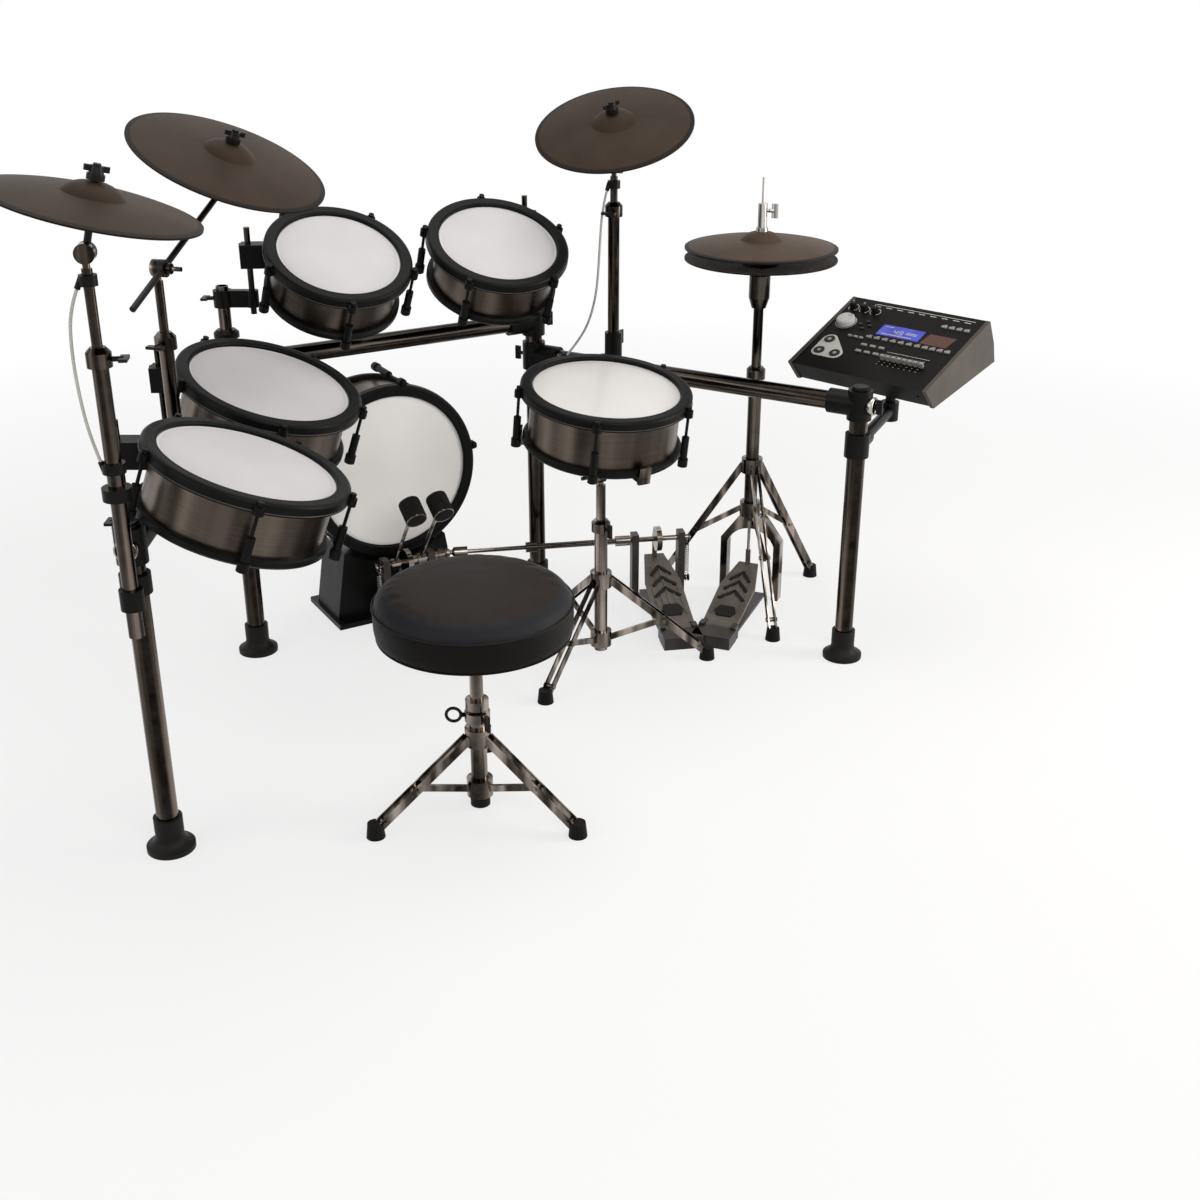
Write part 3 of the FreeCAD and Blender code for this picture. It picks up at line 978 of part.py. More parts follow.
slave_base = beside("front_right", "slave_x", "slave_y", 0)
ball = num("joint_dia") * 0.4
ball_at = kick_lift.multVec(Vector(0, sleeve_end - ball - 0.4, 0))
shaft_way = Vector(ball_at.x - slave_base.x, ball_at.y - slave_base.y, 0)
shaft_long = shaft_way.Length
shaft_way.normalize()
slave_at = Placement(slave_base, Rotation(Vector(0, 1, 0), shaft_way))
slave_hinge, slave_lift = pedal("slave", slave_at, "pedal_long - 36", "toe_z", CHAIN_X, 0, "axle_z",
                                ((1, "b", "axle_dia"), (-1, "a", "axle_dia")))
post_out = num("post_gap / 2 + pedal_post / 2") + 4
shaft_lock = shaft_long * 0.58
shaft = lathe("drive_shaft_turned", [
    (0, -post_out - 6), ("axle_dia / 2", -post_out - 6), ("axle_dia / 2", post_out),
    ("joint_dia / 2", post_out), ("joint_dia / 2", post_out + 34), ("shaft_dia / 2", post_out + 34),
    ("shaft_dia / 2", shaft_lock), ("shaft_dia / 2 + 5", shaft_lock),
    ("shaft_dia / 2 + 5", shaft_lock + 26), ("shaft_dia / 2 - 2", shaft_lock + 26),
    ("shaft_dia / 2 - 2", shaft_long - 46), ("joint_dia / 2", shaft_long - 46),
    ("joint_dia / 2", shaft_long - 16), ("shaft_dia / 2 - 2", shaft_long - 10),
    ("shaft_dia / 2 - 2", shaft_long), (0, shaft_long)],
    along(shaft_way, slave_base + UP * num("axle_z")))
shaft_ball = doc.addObject("Part::Sphere", "drive_shaft_ball")
shaft_ball.setExpression("Radius", bound("joint_dia * 0.4"))
shaft_ball.Placement = Placement(ball_at, Rotation())
slave_cam = centred("slave_cam", "cam_dia", "cam_wide", across_axle(slave_lift, 0))
add("drive_shaft", fuse("drive_shaft_solid", shaft, shaft_ball, slave_cam))

hat_pedal_at = Placement(hat, Rotation(UP, num("hat_heading")))
hat_hinge, hat_lift = pedal("hihat", hat_pedal_at, "hat_pedal_long", "hat_toe_z", 0, 0,
                            "hat_rod_low - 0.3")

# Throne: low tripod, post with a memory ring and a round padded seat
throne = here("throne_x", "throne_y", 0)
throne_upright = along(UP, throne)
tripod("throne_base", "throne", throne, "throne_reach", "throne_turn", "throne_tube_dia",
       "throne_hub_z", "throne_low_z")
POST_BORE = "throne_post_dia / 2 + running_slack"
add("throne_base", lathe("throne_tube", [
    (POST_BORE, 14), ("throne_tube_dia / 2", 14), ("throne_tube_dia / 2", "throne_tube_top"),
    (POST_BORE, "throne_tube_top")], throne_upright))
add("throne_base", lathe("throne_collar", [
    (POST_BORE, "throne_tube_top"), ("throne_tube_dia / 2 + 8", "throne_tube_top"),
    ("throne_tube_dia / 2 + 8", "throne_tube_top + 18"), ("throne_tube_dia / 2", "throne_tube_top + 24"),
    (POST_BORE, "throne_tube_top + 24")], throne_upright))
add("stand_feet", lathe("throne_cap", [
    (0, 4), ("throne_tube_dia / 2 + 3", 4), ("throne_tube_dia / 2 + 3", 22),
    ("throne_tube_dia / 2 + tube_slack", 22), ("throne_tube_dia / 2 + tube_slack", 14), (0, 14)],
    throne_upright))
throne_tip = throne + Vector(0, -num("throne_tube_dia / 2 + 8") - 0.1, num("throne_tube_top + 9"))
add("rack_wing_bolts", wing_bolt("throne_bolt", throne_tip, Vector(0, -1, 0), UP))
PLATE_Z = "seat_under - cheek_gap"
PLATE_LOW = f"{PLATE_Z} - seat_plate"
BOSS_LOW = f"{PLATE_LOW} - seat_boss"
RING_LOW = "throne_tube_top + 24 + cheek_gap"
RING_HIGH = "throne_tube_top + 42"
add("throne_post", lathe("throne_post_turned", [
    (0, 60), ("throne_post_dia / 2", 60), ("throne_post_dia / 2", RING_LOW),
    ("throne_post_dia / 2 + 9", RING_LOW), ("throne_post_dia / 2 + 9", RING_HIGH),
    ("throne_post_dia / 2", RING_HIGH), ("throne_post_dia / 2", BOSS_LOW),
    ("seat_boss_dia / 2", BOSS_LOW), ("seat_boss_dia / 2", PLATE_LOW),
    ("seat_plate_dia / 2", PLATE_LOW), ("seat_plate_dia / 2", PLATE_Z), ("pivot_dia / 2", PLATE_Z),
    ("pivot_dia / 2", f"{PLATE_Z} + 24"), (0, f"{PLATE_Z} + 24")], throne_upright))
SEAM = "seat_under + seat_band"
add("throne_seat", lathe("throne_seat_turned", [
    ("pivot_dia / 2 + running_slack", "seat_under"), ("seat_dia / 2 - 16", "seat_under"),
    ("seat_dia / 2 - 3", "seat_under + 11", ("seat_dia / 2 - 7", "seat_under + 3")),
    ("seat_dia / 2 - 2", f"{SEAM} - seat_seam", ("seat_dia / 2 - 5", "seat_under + seat_band * 0.5")),
    ("seat_dia / 2 - 2", f"{SEAM} + seat_seam", ("seat_dia / 2 + 1", SEAM)),
    ("seat_dia / 2 - seat_bevel", f"{SEAM} + seat_crown * 0.5",
     ("seat_dia / 2 - seat_bevel * 0.5", f"{SEAM} + seat_crown * 0.36")),
    ("seat_dia * 0.1", f"{SEAM} + seat_crown", ("seat_dia * 0.25", f"{SEAM} + seat_crown * 0.87")),
    (0, f"{SEAM} + seat_crown"), (0, "seat_under + 26"),
    ("pivot_dia / 2 + running_slack", "seat_under + 26")], throne_upright))

# Sound module: wedge case with controls on its sloping top, on an arm from the right front leg
flat_x = Rotation(UP, num("module_turn")).multVec(Vector(1, 0, 0))
module_turn = Rotation(flat_x, num("module_tilt")).multiply(Rotation(UP, num("module_turn")))
module_at = Placement(beside("front_right", "module_x", "module_y", "module_z"), module_turn)


def on_panel(x, y, z=0):
    return module_at.multiply(moved(num(x), num(y), num(z)))


def wedge(name, inset, wide):
    return plate(name, [
        (f"-module_deep / 2 + {inset}", f"-{inset}"),
        (f"-module_deep / 2 + module_front_set + {inset}", f"-module_front + {inset}"),
        (f"module_deep / 2 - 4 - {inset}", f"-module_back + {inset}"),
        (f"module_deep / 2 - {inset}", f"-{inset}")],
        wide, on_panel(f"-({wide}) / 2", 0), "YZ_Plane")


KEYS = [(x, y, 9, 5) for x, y in ((-72, 40), (-96, 40), (-84, 53), (-84, 27))]
KEYS += [(-51 + 20 * index, 3, 12, 5) for index in range(7)]
KEYS += [(-45 + 22 * index, y, 13, 6) for index in range(3) for y in (-26, -49)]
KEYS += [(88 + 18 * index, y, 12, 6) for index in range(4) for y in (84, 3)]
KEYS += [(-94 + 14 * index, -5, 9, 5) for index in range(3)]
PADS = [(-131, -30), (-131, -72), (-91, -72)]
KNOBS = [(-148, 94), (-119, 93), (-90, 92)]
FADERS = [24 + num("fader_step") * index for index in range(int(num("fader_count")))]
shell = wedge("module_block", 0, "module_wide - 2 * cheek_wide")
ears = [box(f"module_ear{mark}", 8, 34, 62, on_panel(side * 34, "module_pivot_y", -110))
        for side, mark in ((-1, "a"), (1, "b"))]
hollow = wedge("module_hollow", 5, "module_wide - 2 * cheek_wide - 10")
tools = [box("screen_recess", "screen_wide + 0.8", "screen_deep + 0.8", 4,
             on_panel("screen_x", "screen_y", -2))]
for index, (x, y, wide, deep) in enumerate(KEYS):
    tools.append(box(f"key_hole{index}", f"{wide} + 2 * key_slack", f"{deep} + 2 * key_slack", 12,
                     on_panel(x, y, -8)))
for index, (x, y) in enumerate(PADS):
    tools.append(cylinder(f"pad_hole{index}", "key_dia + 2 * key_slack", 12, on_panel(x, y, -8)))
for index, (x, y) in enumerate(KNOBS + [("dial_x", "dial_y")]):
    tools.append(cylinder(f"knob_hole{index}", "6 + 2 * running_slack", 12, on_panel(x, y, -8)))
for index, x in enumerate(FADERS):
    tools.append(box(f"fader_slot{index}", "slot_wide", "fader_travel + 10", 12,
                     on_panel(x, "fader_y", -8)))
pivot = on_panel(0, "module_pivot_y", "-module_pivot_drop")
module_axis = Vector(flat_x)
pivot_at = along(module_axis, pivot.Base)
tools.append(centred("module_pin_bore", "pin_dia + 2 * running_slack", 120, pivot_at))
front_lean = math.degrees(math.atan2(num("module_front"), num("module_front_set")))
jack_share = 0.45
jack_face = on_panel("jack_x", f"-module_deep / 2 + module_front_set * {jack_share}",
                     f"-module_front * {jack_share}")
jack_at = jack_face.multiply(Placement(Vector(), Rotation(Vector(1, 0, 0), -front_lean)))
tools.append(cylinder("jack_bore", "jack_dia", "jack_deep", jack_at))
boss = cylinder("jack_boss", "jack_dia + 9", "jack_deep + 4", jack_at)
walls = cut("module_walls", fuse("module_case_raw", shell, *ears), hollow)
case = cut("module_case_block", fuse("module_case_bossed", walls, boss), *tools)
add("module_case", case)
for side, mark in ((-1, "a"), (1, "b")):
    cheek_at = on_panel(f"{side} * (module_wide / 2 - cheek_wide / 2) - cheek_wide / 2", 0)
    cheek = plate(f"module_cheek{mark}", [
        ("-module_deep / 2 - 1", 2), ("-module_deep / 2 + 18", "-module_front - 2"),
        ("module_deep / 2 - 4", "-module_back - 2"), ("module_deep / 2 + 2", -56),
        ("module_deep / 2 - 2", 2)], "cheek_wide", cheek_at, "YZ_Plane")
    add("module_case", cheek)
board = box("module_board", "module_wide - 60", "module_deep - 80", 2, on_panel(0, 10, -24))
posts = [cylinder(f"module_post{index}", 8, 17.2, on_panel(x, y, -22.1))
         for index, (x, y) in enumerate(((-110, 75), (110, 60), (-60, -75), (10, -70)))]
add("module_case", fuse("module_circuit", board, *posts))
add("module_screen", box("module_screen", "screen_wide", "screen_deep", 2.2,
                         on_panel("screen_x", "screen_y", -2)))
for index, (x, y, wide, deep) in enumerate(KEYS):
    add("module_buttons", box(f"key{index}", wide, deep, "key_tall + 8", on_panel(x, y, "-12 + 2")))
for index, (x, y) in enumerate(PADS):
    add("module_buttons", cylinder(f"pad{index}", "key_dia", "key_tall + 7", on_panel(x, y, -10)))


def knob(name, dia, tall, x, y):
    return lathe(name, [
        (0, -14), (3, -14), (3, 1), (f"{dia} / 2", 1), (f"{dia} / 2 - 1", f"{tall} - 2"),
        (f"{dia} / 2 - 3", tall), (0, tall)], on_panel(x, y))


for index, (x, y) in enumerate(KNOBS, 1):
    add(f"module_knob_{index}", knob(f"module_knob_{index}", "knob_dia", "knob_tall", x, y))
add("module_dial", knob("module_dial", "dial_dia", "dial_tall", "dial_x", "dial_y"))
for index, x in enumerate(FADERS):
    cap = box(f"fader_cap{index}", "fader_wide", 7, "fader_tall", on_panel(x, "fader_y", 1))
    stem = box(f"fader_stem{index}", "slot_wide - 0.8", 5, 14, on_panel(x, "fader_y", -12))
    add("module_faders", fuse(f"fader{index}", cap, stem))

leg_front = LEG["front_right"]
arm_z = num("module_arm_z")
arm_end = Vector(pivot.Base.x, pivot.Base.y, arm_z)
arm_way = Vector(arm_end.x - leg_front.x, arm_end.y - leg_front.y, 0)
arm_long = arm_way.Length
arm_way.normalize()
leg_mid = leg_front + UP * arm_z


def on_arm(distance):
    """Placement on the module arm's axis at a distance from the leg."""
    return along(arm_way, leg_mid + arm_way * distance)


leg_sleeve = centred("module_sleeve", SLEEVE, 50, along(UP, leg_mid))
arm_socket = cylinder("module_socket", "post_dia + 2 * clamp_wall", 62, on_arm(0))
arm_bore = cylinder("module_arm_bore", "post_dia + 2 * tube_slack", 80, on_arm(29.9))
add("rack_clamps", cut("module_clamp", fuse("module_clamp_raw", leg_sleeve, arm_socket),
                       centred("module_leg_bore", BORE, 120, along(UP, leg_mid)), arm_bore))
tube_end = arm_long - num("post_dia") / 2 - 4
add("module_arm", pipe("module_arm_tube", "post_dia", "tube_wall", tube_end - 30, on_arm(30)))
elbow_ring = cylinder("module_elbow", "post_dia + 14", 42, along(UP, arm_end - UP * 21))
upright = cylinder("module_upright", "post_dia - 3", pivot.Base.z - arm_z, along(UP, arm_end))
barrel = centred("module_barrel", 22, 59, pivot_at)
pin = centred("module_pin", "pin_dia", 94, pivot_at)
elbow_bore = cylinder("module_elbow_bore", "post_dia + 2 * tube_slack", 40, on_arm(tube_end - 39.9))
bracket_raw = fuse("module_bracket_raw", elbow_ring, upright, barrel, pin)
add("module_arm", cut("module_bracket", bracket_raw, elbow_bore))


# Cables: straight runs and tangent arcs between the route points, ends held in clips
def cable(label, points):
    rows = [Vector(*point) for point in points]
    edges = []
    start = rows[0]
    radii = []
    for before, corner, after in zip(rows, rows[1:], rows[2:]):
        into = (corner - before).normalize()
        out = (after - corner).normalize()
        half_turn = into.getAngle(out) / 2
        trim = 0.45 * min((corner - before).Length, (after - corner).Length)
        radius = trim / math.tan(half_turn)
        radii.append(radius)
        first = corner - into * trim
        last = corner + out * trim
        inward = (out - into).normalize()
        middle = corner + inward * (radius / math.cos(half_turn) - radius)
        edges.append(Part.LineSegment(start, first).toShape())
        edges.append(Part.Arc(first, middle, last).toShape())
        start = last
    edges.append(Part.LineSegment(start, rows[-1]).toShape())
    path = Part.Wire(edges)
    heading = (rows[1] - rows[0]).normalize()
    section = Part.Wire(Part.Circle(rows[0], heading, num("cable_dia") / 2).toShape())
    sweep = Part.BRepOffsetAPI.MakePipeShell(path)
    sweep.add(section)
    sweep.setTransitionMode(2)
    sweep.build()
    sweep.makeSolid()
    piece = doc.addObject("Part::Feature", label)
    piece.Shape = sweep.shape()
    ideal = math.pi * (num("cable_dia") / 2) ** 2 * path.Length
    share = round(piece.Shape.Volume / ideal, 4)
    print(label, "radii", [round(radius) for radius in radii], "volume share", share)
    add(label, piece)
    return rows


def clip(name, foot, dia, low, end, way):
    """Ring on a tube with a gland that meets a cable's end."""
    ring = cylinder(name + "_ring", f"{dia} + 11", 16, along(UP, Vector(foot.x, foot.y, low)))
    gland = cylinder(name + "_gland", "cable_dia + 4", 17, along(way, end))
    below = along(UP, Vector(foot.x, foot.y, low - 50))
    bore = cylinder(name + "_bore", f"{dia} + 2 * tube_slack", 120, below)
    add("rack_clamps", cut(name, fuse(name + "_solid", ring, gland), bore))


out_left = Vector(-0.95, 0.31, 0)
low_z = JOINTS["crash_left"][0].z - 50
route = [left_foot + out_left * side + UP * (low_z + height - left_foot.z) for side, height in (
    (17, 0), (32, -32), (37, -95), (35, -160), (28, -222), (18, -262))]
rows = cable("crash_left_cable", route)
clip("crash_left_clip_high", left_foot, "mast_upper", low_z + 4, rows[0], rows[0] - rows[1])
clip("crash_left_clip_low", left_foot, "mast_dia", rows[-1].z - 19, rows[-1], rows[-1] - rows[-2])

top_z = JOINTS["crash_right"][0].z - 50
corner_leg = LEG["rear_right"]
route = [right_foot + Vector(x, y, top_z + height - right_foot.z) for x, y, height in (
    (-17, 0, 0), (-27, 1, -34), (-31, 4, -96), (-32, 9, -160), (-34, 17, -224), (-43, 34, -288))]
route += [corner_leg + Vector(x, y, z) for x, y, z in (
    (44, -118, 618), (22, -84, 570), (7, -50, 528), (2, -29, 510))]
rows = cable("crash_right_cable", route)
clip("crash_right_clip_high", right_foot, "mast_upper", top_z + 4, rows[0], rows[0] - rows[1])
clip("crash_right_clip_low", corner_leg, "tube_dia", rows[-1].z - 18, rows[-1], rows[-1] - rows[-2])

# One named node per file, each checked before it is written
for label, pieces in NODES.items():
    if len(pieces) > 1:
        group = doc.addObject("Part::Compound", "node_" + label)
        group.Links = pieces
        NODES[label] = group
    else:
        NODES[label] = pieces[0]
    if NODES[label].Label != label:
        for other in doc.getObjectsByLabel(label):
            other.Label = label + "_piece"
        NODES[label].Label = label
doc.recompute()
for item in doc.Objects:
    if "Invalid" in item.State or "Error" in item.State:
        raise RuntimeError(f"{item.Label} failed to build: {item.State}")
os.makedirs("parts", exist_ok=True)
whole = FreeCAD.BoundBox()
for label, item in NODES.items():
    if item.Shape.isNull() or not item.Shape.isValid():
        raise RuntimeError(f"{label} has no valid shape")
    item.Shape.exportStep(f"parts/{label}.step")
    if not label.endswith("cable"):
        whole.add(item.Shape.optimalBoundingBox())
print(len(NODES), "nodes; bounds", [round(value, 1) for value in (
    whole.XMin, whole.XMax, whole.YMin, whole.YMax, whole.ZMin, whole.ZMax)])
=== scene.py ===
import math
import bmesh
import bpy
from mathutils import Euler, Matrix, Vector


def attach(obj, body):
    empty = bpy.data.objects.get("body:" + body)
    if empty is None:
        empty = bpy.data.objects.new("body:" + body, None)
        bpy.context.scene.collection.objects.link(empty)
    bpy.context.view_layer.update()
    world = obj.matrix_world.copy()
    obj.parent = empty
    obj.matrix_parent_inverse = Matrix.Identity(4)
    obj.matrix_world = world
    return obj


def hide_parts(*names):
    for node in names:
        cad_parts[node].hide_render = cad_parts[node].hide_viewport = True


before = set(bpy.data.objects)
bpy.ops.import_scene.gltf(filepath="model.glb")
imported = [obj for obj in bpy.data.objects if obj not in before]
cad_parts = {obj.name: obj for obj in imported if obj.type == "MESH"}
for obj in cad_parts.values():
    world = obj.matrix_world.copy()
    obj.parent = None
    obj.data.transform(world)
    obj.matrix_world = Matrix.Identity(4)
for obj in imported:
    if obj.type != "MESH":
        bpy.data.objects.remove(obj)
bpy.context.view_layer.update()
scene = bpy.context.scene
scene.view_settings.view_transform = "Standard"
up = Vector((0, 0, 1))


def spot(x, y, z):
    return Vector((x, y, z))


# camera at the picture's point of view
cameraSetup = dict(lens=46.0, place=(-1.3628, -2.5923, 1.4960), pitch=65.71, heading=-30.48)
lensData = bpy.data.cameras.new("kitCamera")
lensData.lens = cameraSetup["lens"]
lensData.sensor_width = 36
lensData.clip_end = 200
kitCamera = bpy.data.objects.new("kitCamera", lensData)
kitCamera.location = cameraSetup["place"]
kitCamera.rotation_euler = (math.radians(cameraSetup["pitch"]), 0, math.radians(cameraSetup["heading"]))
scene.collection.objects.link(kitCamera)
scene.camera = kitCamera
print("camera placed")


# small helpers for node trees
def put(tree, kind, inputs=None, **settings):
    node = tree.nodes.new("ShaderNode" + kind)
    for key, value in settings.items():
        setattr(node, key, value)
    for key, value in (inputs or {}).items():
        wire(tree, value, node.inputs[key])
    return node


def wire(tree, value, socket):
    if isinstance(value, bpy.types.NodeSocket):
        tree.links.new(value, socket)
    else:
        socket.default_value = value


def tint(colour):
    return (*colour, 1.0)


def blendColour(tree, share, first, second):
    node = put(tree, "Mix", data_type="RGBA")
    wire(tree, share, node.inputs[0])
    wire(tree, first, node.inputs[6])
    wire(tree, second, node.inputs[7])
    return node.outputs[2]


def remap(tree, value, low, high, toLow, toHigh):
    node = put(tree, "MapRange", {"Value": value, "From Min": low, "From Max": high,
                                  "To Min": toLow, "To Max": toHigh})
    return node.outputs["Result"]


def maths(tree, operation, first, second=0.0):
    node = put(tree, "Math", operation=operation)
    wire(tree, first, node.inputs[0])
    wire(tree, second, node.inputs[1])
    return node.outputs[0]


def newGroup(name, takes, gives):
    group = bpy.data.node_groups.new(name, "ShaderNodeTree")
    for label, kind, value in takes:
        socket = group.interface.new_socket(label, in_out="INPUT", socket_type="NodeSocket" + kind)
        if value is not None:
            socket.default_value = value
    for label, kind in gives:
        group.interface.new_socket(label, in_out="OUTPUT", socket_type="NodeSocket" + kind)
    return group, group.nodes.new("NodeGroupInput").outputs, group.nodes.new("NodeGroupOutput").inputs


def grainGroup():  # fine moulded or cast grain with larger worn patches
    group, takes, gives = newGroup("fineGrain", [
        ("Vector", "Vector", None), ("Grain Size", "Float", 900.0), ("Patch Size", "Float", 14.0)],
        [("Height", "Float"), ("Patch", "Float")])
    fine = put(group, "TexNoise", {"Vector": takes["Vector"], "Scale": takes["Grain Size"], "Detail": 3.0})
    wide = put(group, "TexNoise", {"Vector": takes["Vector"], "Scale": takes["Patch Size"], "Detail": 6.0,
                                   "Roughness": 0.62})
    group.links.new(fine.outputs[0], gives["Height"])
    group.links.new(remap(group, wide.outputs[0], 0.3, 0.7, 0.0, 1.0), gives["Patch"])
    return group


def scratchGroup():  # hairline marks in one direction over soft smudges
    group, takes, gives = newGroup("hairlines", [
        ("Vector", "Vector", None), ("Stretch", "Vector", (40.0, 40.0, 1600.0)),
        ("Smudge Size", "Float", 9.0)],
        [("Line", "Float"), ("Smudge", "Float")])
    pulled = put(group, "VectorMath", {0: takes["Vector"], 1: takes["Stretch"]}, operation="MULTIPLY")
    line = put(group, "TexNoise", {"Vector": pulled.outputs[0], "Scale": 1.0, "Detail": 4.0,
                                   "Roughness": 0.7})
    smudge = put(group, "TexNoise", {"Vector": takes["Vector"], "Scale": takes["Smudge Size"],
                                     "Detail": 5.0})
    group.links.new(remap(group, line.outputs[0], 0.32, 0.68, 0.0, 1.0), gives["Line"])
    group.links.new(remap(group, smudge.outputs[0], 0.35, 0.68, 0.0, 1.0), gives["Smudge"])
    return group


def reflectionStreakGroup():  # painted reflection: long pale streaks in narrow bands between wide dark ones, standing in for a room reflected in the metal
    group, takes, gives = newGroup("paintedReflectionStreaks", [
        ("Vector", "Vector", None), ("Stretch", "Vector", (75.0, 75.0, 1.0)), ("Darkness", "Float", 1.8)],
        [("Painted Reflection", "Float")])
    pulled = put(group, "VectorMath", {0: takes["Vector"], 1: takes["Stretch"]}, operation="MULTIPLY")
    paintedBand = put(group, "TexNoise", {"Vector": pulled.outputs[0], "Scale": 1.0, "Detail": 1.5,
                                   "Roughness": 0.45})
    level = remap(group, paintedBand.outputs[0], 0.36, 0.66, 0.0, 1.0)
    group.links.new(maths(group, "POWER", level, takes["Darkness"]), gives["Painted Reflection"])
    return group


fineGrain = grainGroup()
hairlines = scratchGroup()
paintedReflectionStreaks = reflectionStreakGroup()


def newMaterial(name):
    material = bpy.data.materials.new(name)
    material.use_nodes = True
    tree = material.node_tree
    tree.nodes.clear()
    shader = put(tree, "BsdfPrincipled")
    output = put(tree, "OutputMaterial")
    tree.links.new(shader.outputs[0], output.inputs["Surface"])
    return material, tree, shader


def placed(tree, centre=(0, 0, 0), turn=(0, 0, 0)):  # object coordinates in a piece's own frame
    coordinate = put(tree, "TexCoord").outputs["Object"]
    if tuple(centre) == (0, 0, 0) and tuple(turn) == (0, 0, 0):
        return coordinate
    return put(tree, "Mapping", {"Vector": coordinate, "Location": centre, "Rotation": turn},
               vector_type="TEXTURE").outputs[0]


def useGroup(tree, group, **inputs):
    node = put(tree, "Group")
    node.node_tree = group
    for key, value in inputs.items():
        wire(tree, value, node.inputs[key])
    return node.outputs


def raised(tree, shader, height, strength, depth):
    bump = put(tree, "Bump", {"Height": height, "Strength": strength, "Distance": depth})
    tree.links.new(bump.outputs[0], shader.inputs["Normal"])


# base colour: painted reflection streaks, from dark plating to pale reflected light, mixed with real
# hairline marks
def metalFinish(name, dark, light, rough, bands, darkness=1.8, lines=(30.0, 30.0, 30.0), share=0.1,
                spread=0.08, bump=0.03, centre=(0, 0, 0), turn=(0, 0, 0), dimAbove=None, dimTo=0.28):
    material, tree, shader = newMaterial(name)
    local = placed(tree, centre, turn)
    marks = useGroup(tree, hairlines, Vector=local, Stretch=lines)
    paintedReflection = useGroup(tree, paintedReflectionStreaks, Vector=local, Stretch=bands, Darkness=darkness)["Painted Reflection"]
    level = maths(tree, "ADD", maths(tree, "MULTIPLY", paintedReflection, 1.0 - share),
                  maths(tree, "MULTIPLY", marks["Line"], share))
    if dimAbove:  # blacker plating above these heights, where the painted reflection streaks fade
        height = put(tree, "SeparateXYZ", {"Vector": local}).outputs["Z"]
        level = maths(tree, "MULTIPLY", level, remap(tree, height, *dimAbove, 1.0, dimTo))
    wire(tree, blendColour(tree, level, tint(dark), tint(light)), shader.inputs["Base Color"])
    wire(tree, remap(tree, marks["Smudge"], 0.0, 1.0, rough, rough + spread), shader.inputs["Roughness"])
    shader.inputs["Metallic"].default_value = 1.0
    raised(tree, shader, marks["Line"], bump, 0.0004)
    return material


def mouldedFinish(name, dark, light, rough, grain=900.0, patch=14.0, bump=0.18, spread=0.15, sheen=0.5):
    material, tree, shader = newMaterial(name)
    skin = useGroup(tree, fineGrain, Vector=placed(tree), **{"Grain Size": grain, "Patch Size": patch})
    wire(tree, blendColour(tree, skin["Patch"], tint(dark), tint(light)), shader.inputs["Base Color"])
    wire(tree, remap(tree, skin["Patch"], 0.0, 1.0, rough, rough + spread), shader.inputs["Roughness"])
    shader.inputs["Specular IOR Level"].default_value = sheen
    raised(tree, shader, skin["Height"], bump, 0.0005)
    return material


def dress(nodeName, material):
    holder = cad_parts[nodeName]
    if not holder.material_slots:
        holder.data.materials.append(material)
    for slot in holder.material_slots:
        slot.material = material


def finished(bm, name, material, body, smooth=True):  # mesh object in its place, riding on a body
    mesh = bpy.data.meshes.new(name)
    for face in bm.faces:
        face.smooth = smooth
    bm.to_mesh(mesh)
    bm.free()
    piece = bpy.data.objects.new(name, mesh)
    piece.data.materials.append(material)
    scene.collection.objects.link(piece)
    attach(piece, body)
    return piece


# cords: thin sensor leads from two cymbal joints
leadSetup = dict(diameter=0.005, sides=6, jacket=(0.43, 0.41, 0.385), worn=(0.56, 0.54, 0.51))
leadRoutes = {
    "crash_left_cable": dict(length=0.27, lay="hanging", points=[
        (-0.8976, -0.3170, 0.9961), (-0.9119, -0.3124, 0.9641), (-0.9166, -0.3108, 0.9011),
        (-0.9147, -0.3114, 0.8361), (-0.9081, -0.3136, 0.7741), (-0.8986, -0.3167, 0.7341)]),
    "crash_right_cable": dict(length=0.50, lay="hanging", points=[
        (0.3202, 0.2383, 0.954), (0.3102, 0.2393, 0.920), (0.3062, 0.2423, 0.858), (0.3052, 0.2473, 0.794),
        (0.3032, 0.2553, 0.730), (0.2942, 0.2723, 0.666), (0.2782, 0.2987, 0.618), (0.2562, 0.3327, 0.570),
        (0.2412, 0.3667, 0.528), (0.2362, 0.3877, 0.510)]),
}
leadJacket = mouldedFinish("leadJacket", leadSetup["jacket"], leadSetup["worn"], rough=0.42, grain=600.0,
                           patch=30.0, bump=0.08)
for nodeName, route in leadRoutes.items():
    line = bpy.data.curves.new(nodeName + "_lead", "CURVE")
    line.dimensions = "3D"
    line.bevel_depth = leadSetup["diameter"] / 2
    line.bevel_resolution = leadSetup["sides"]
    line.resolution_u = 16
    run = line.splines.new("NURBS")
    run.points.add(len(route["points"]) - 1)
    for point, place in zip(run.points, route["points"]):
        point.co = (*place, 1.0)
    run.order_u = 3
    run.use_endpoint_u = True
    lead = bpy.data.objects.new(nodeName + "_lead", line)
    line.materials.append(leadJacket)
    scene.collection.objects.link(lead)
    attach(lead, "rack")
    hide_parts(nodeName)
print("leads laid")

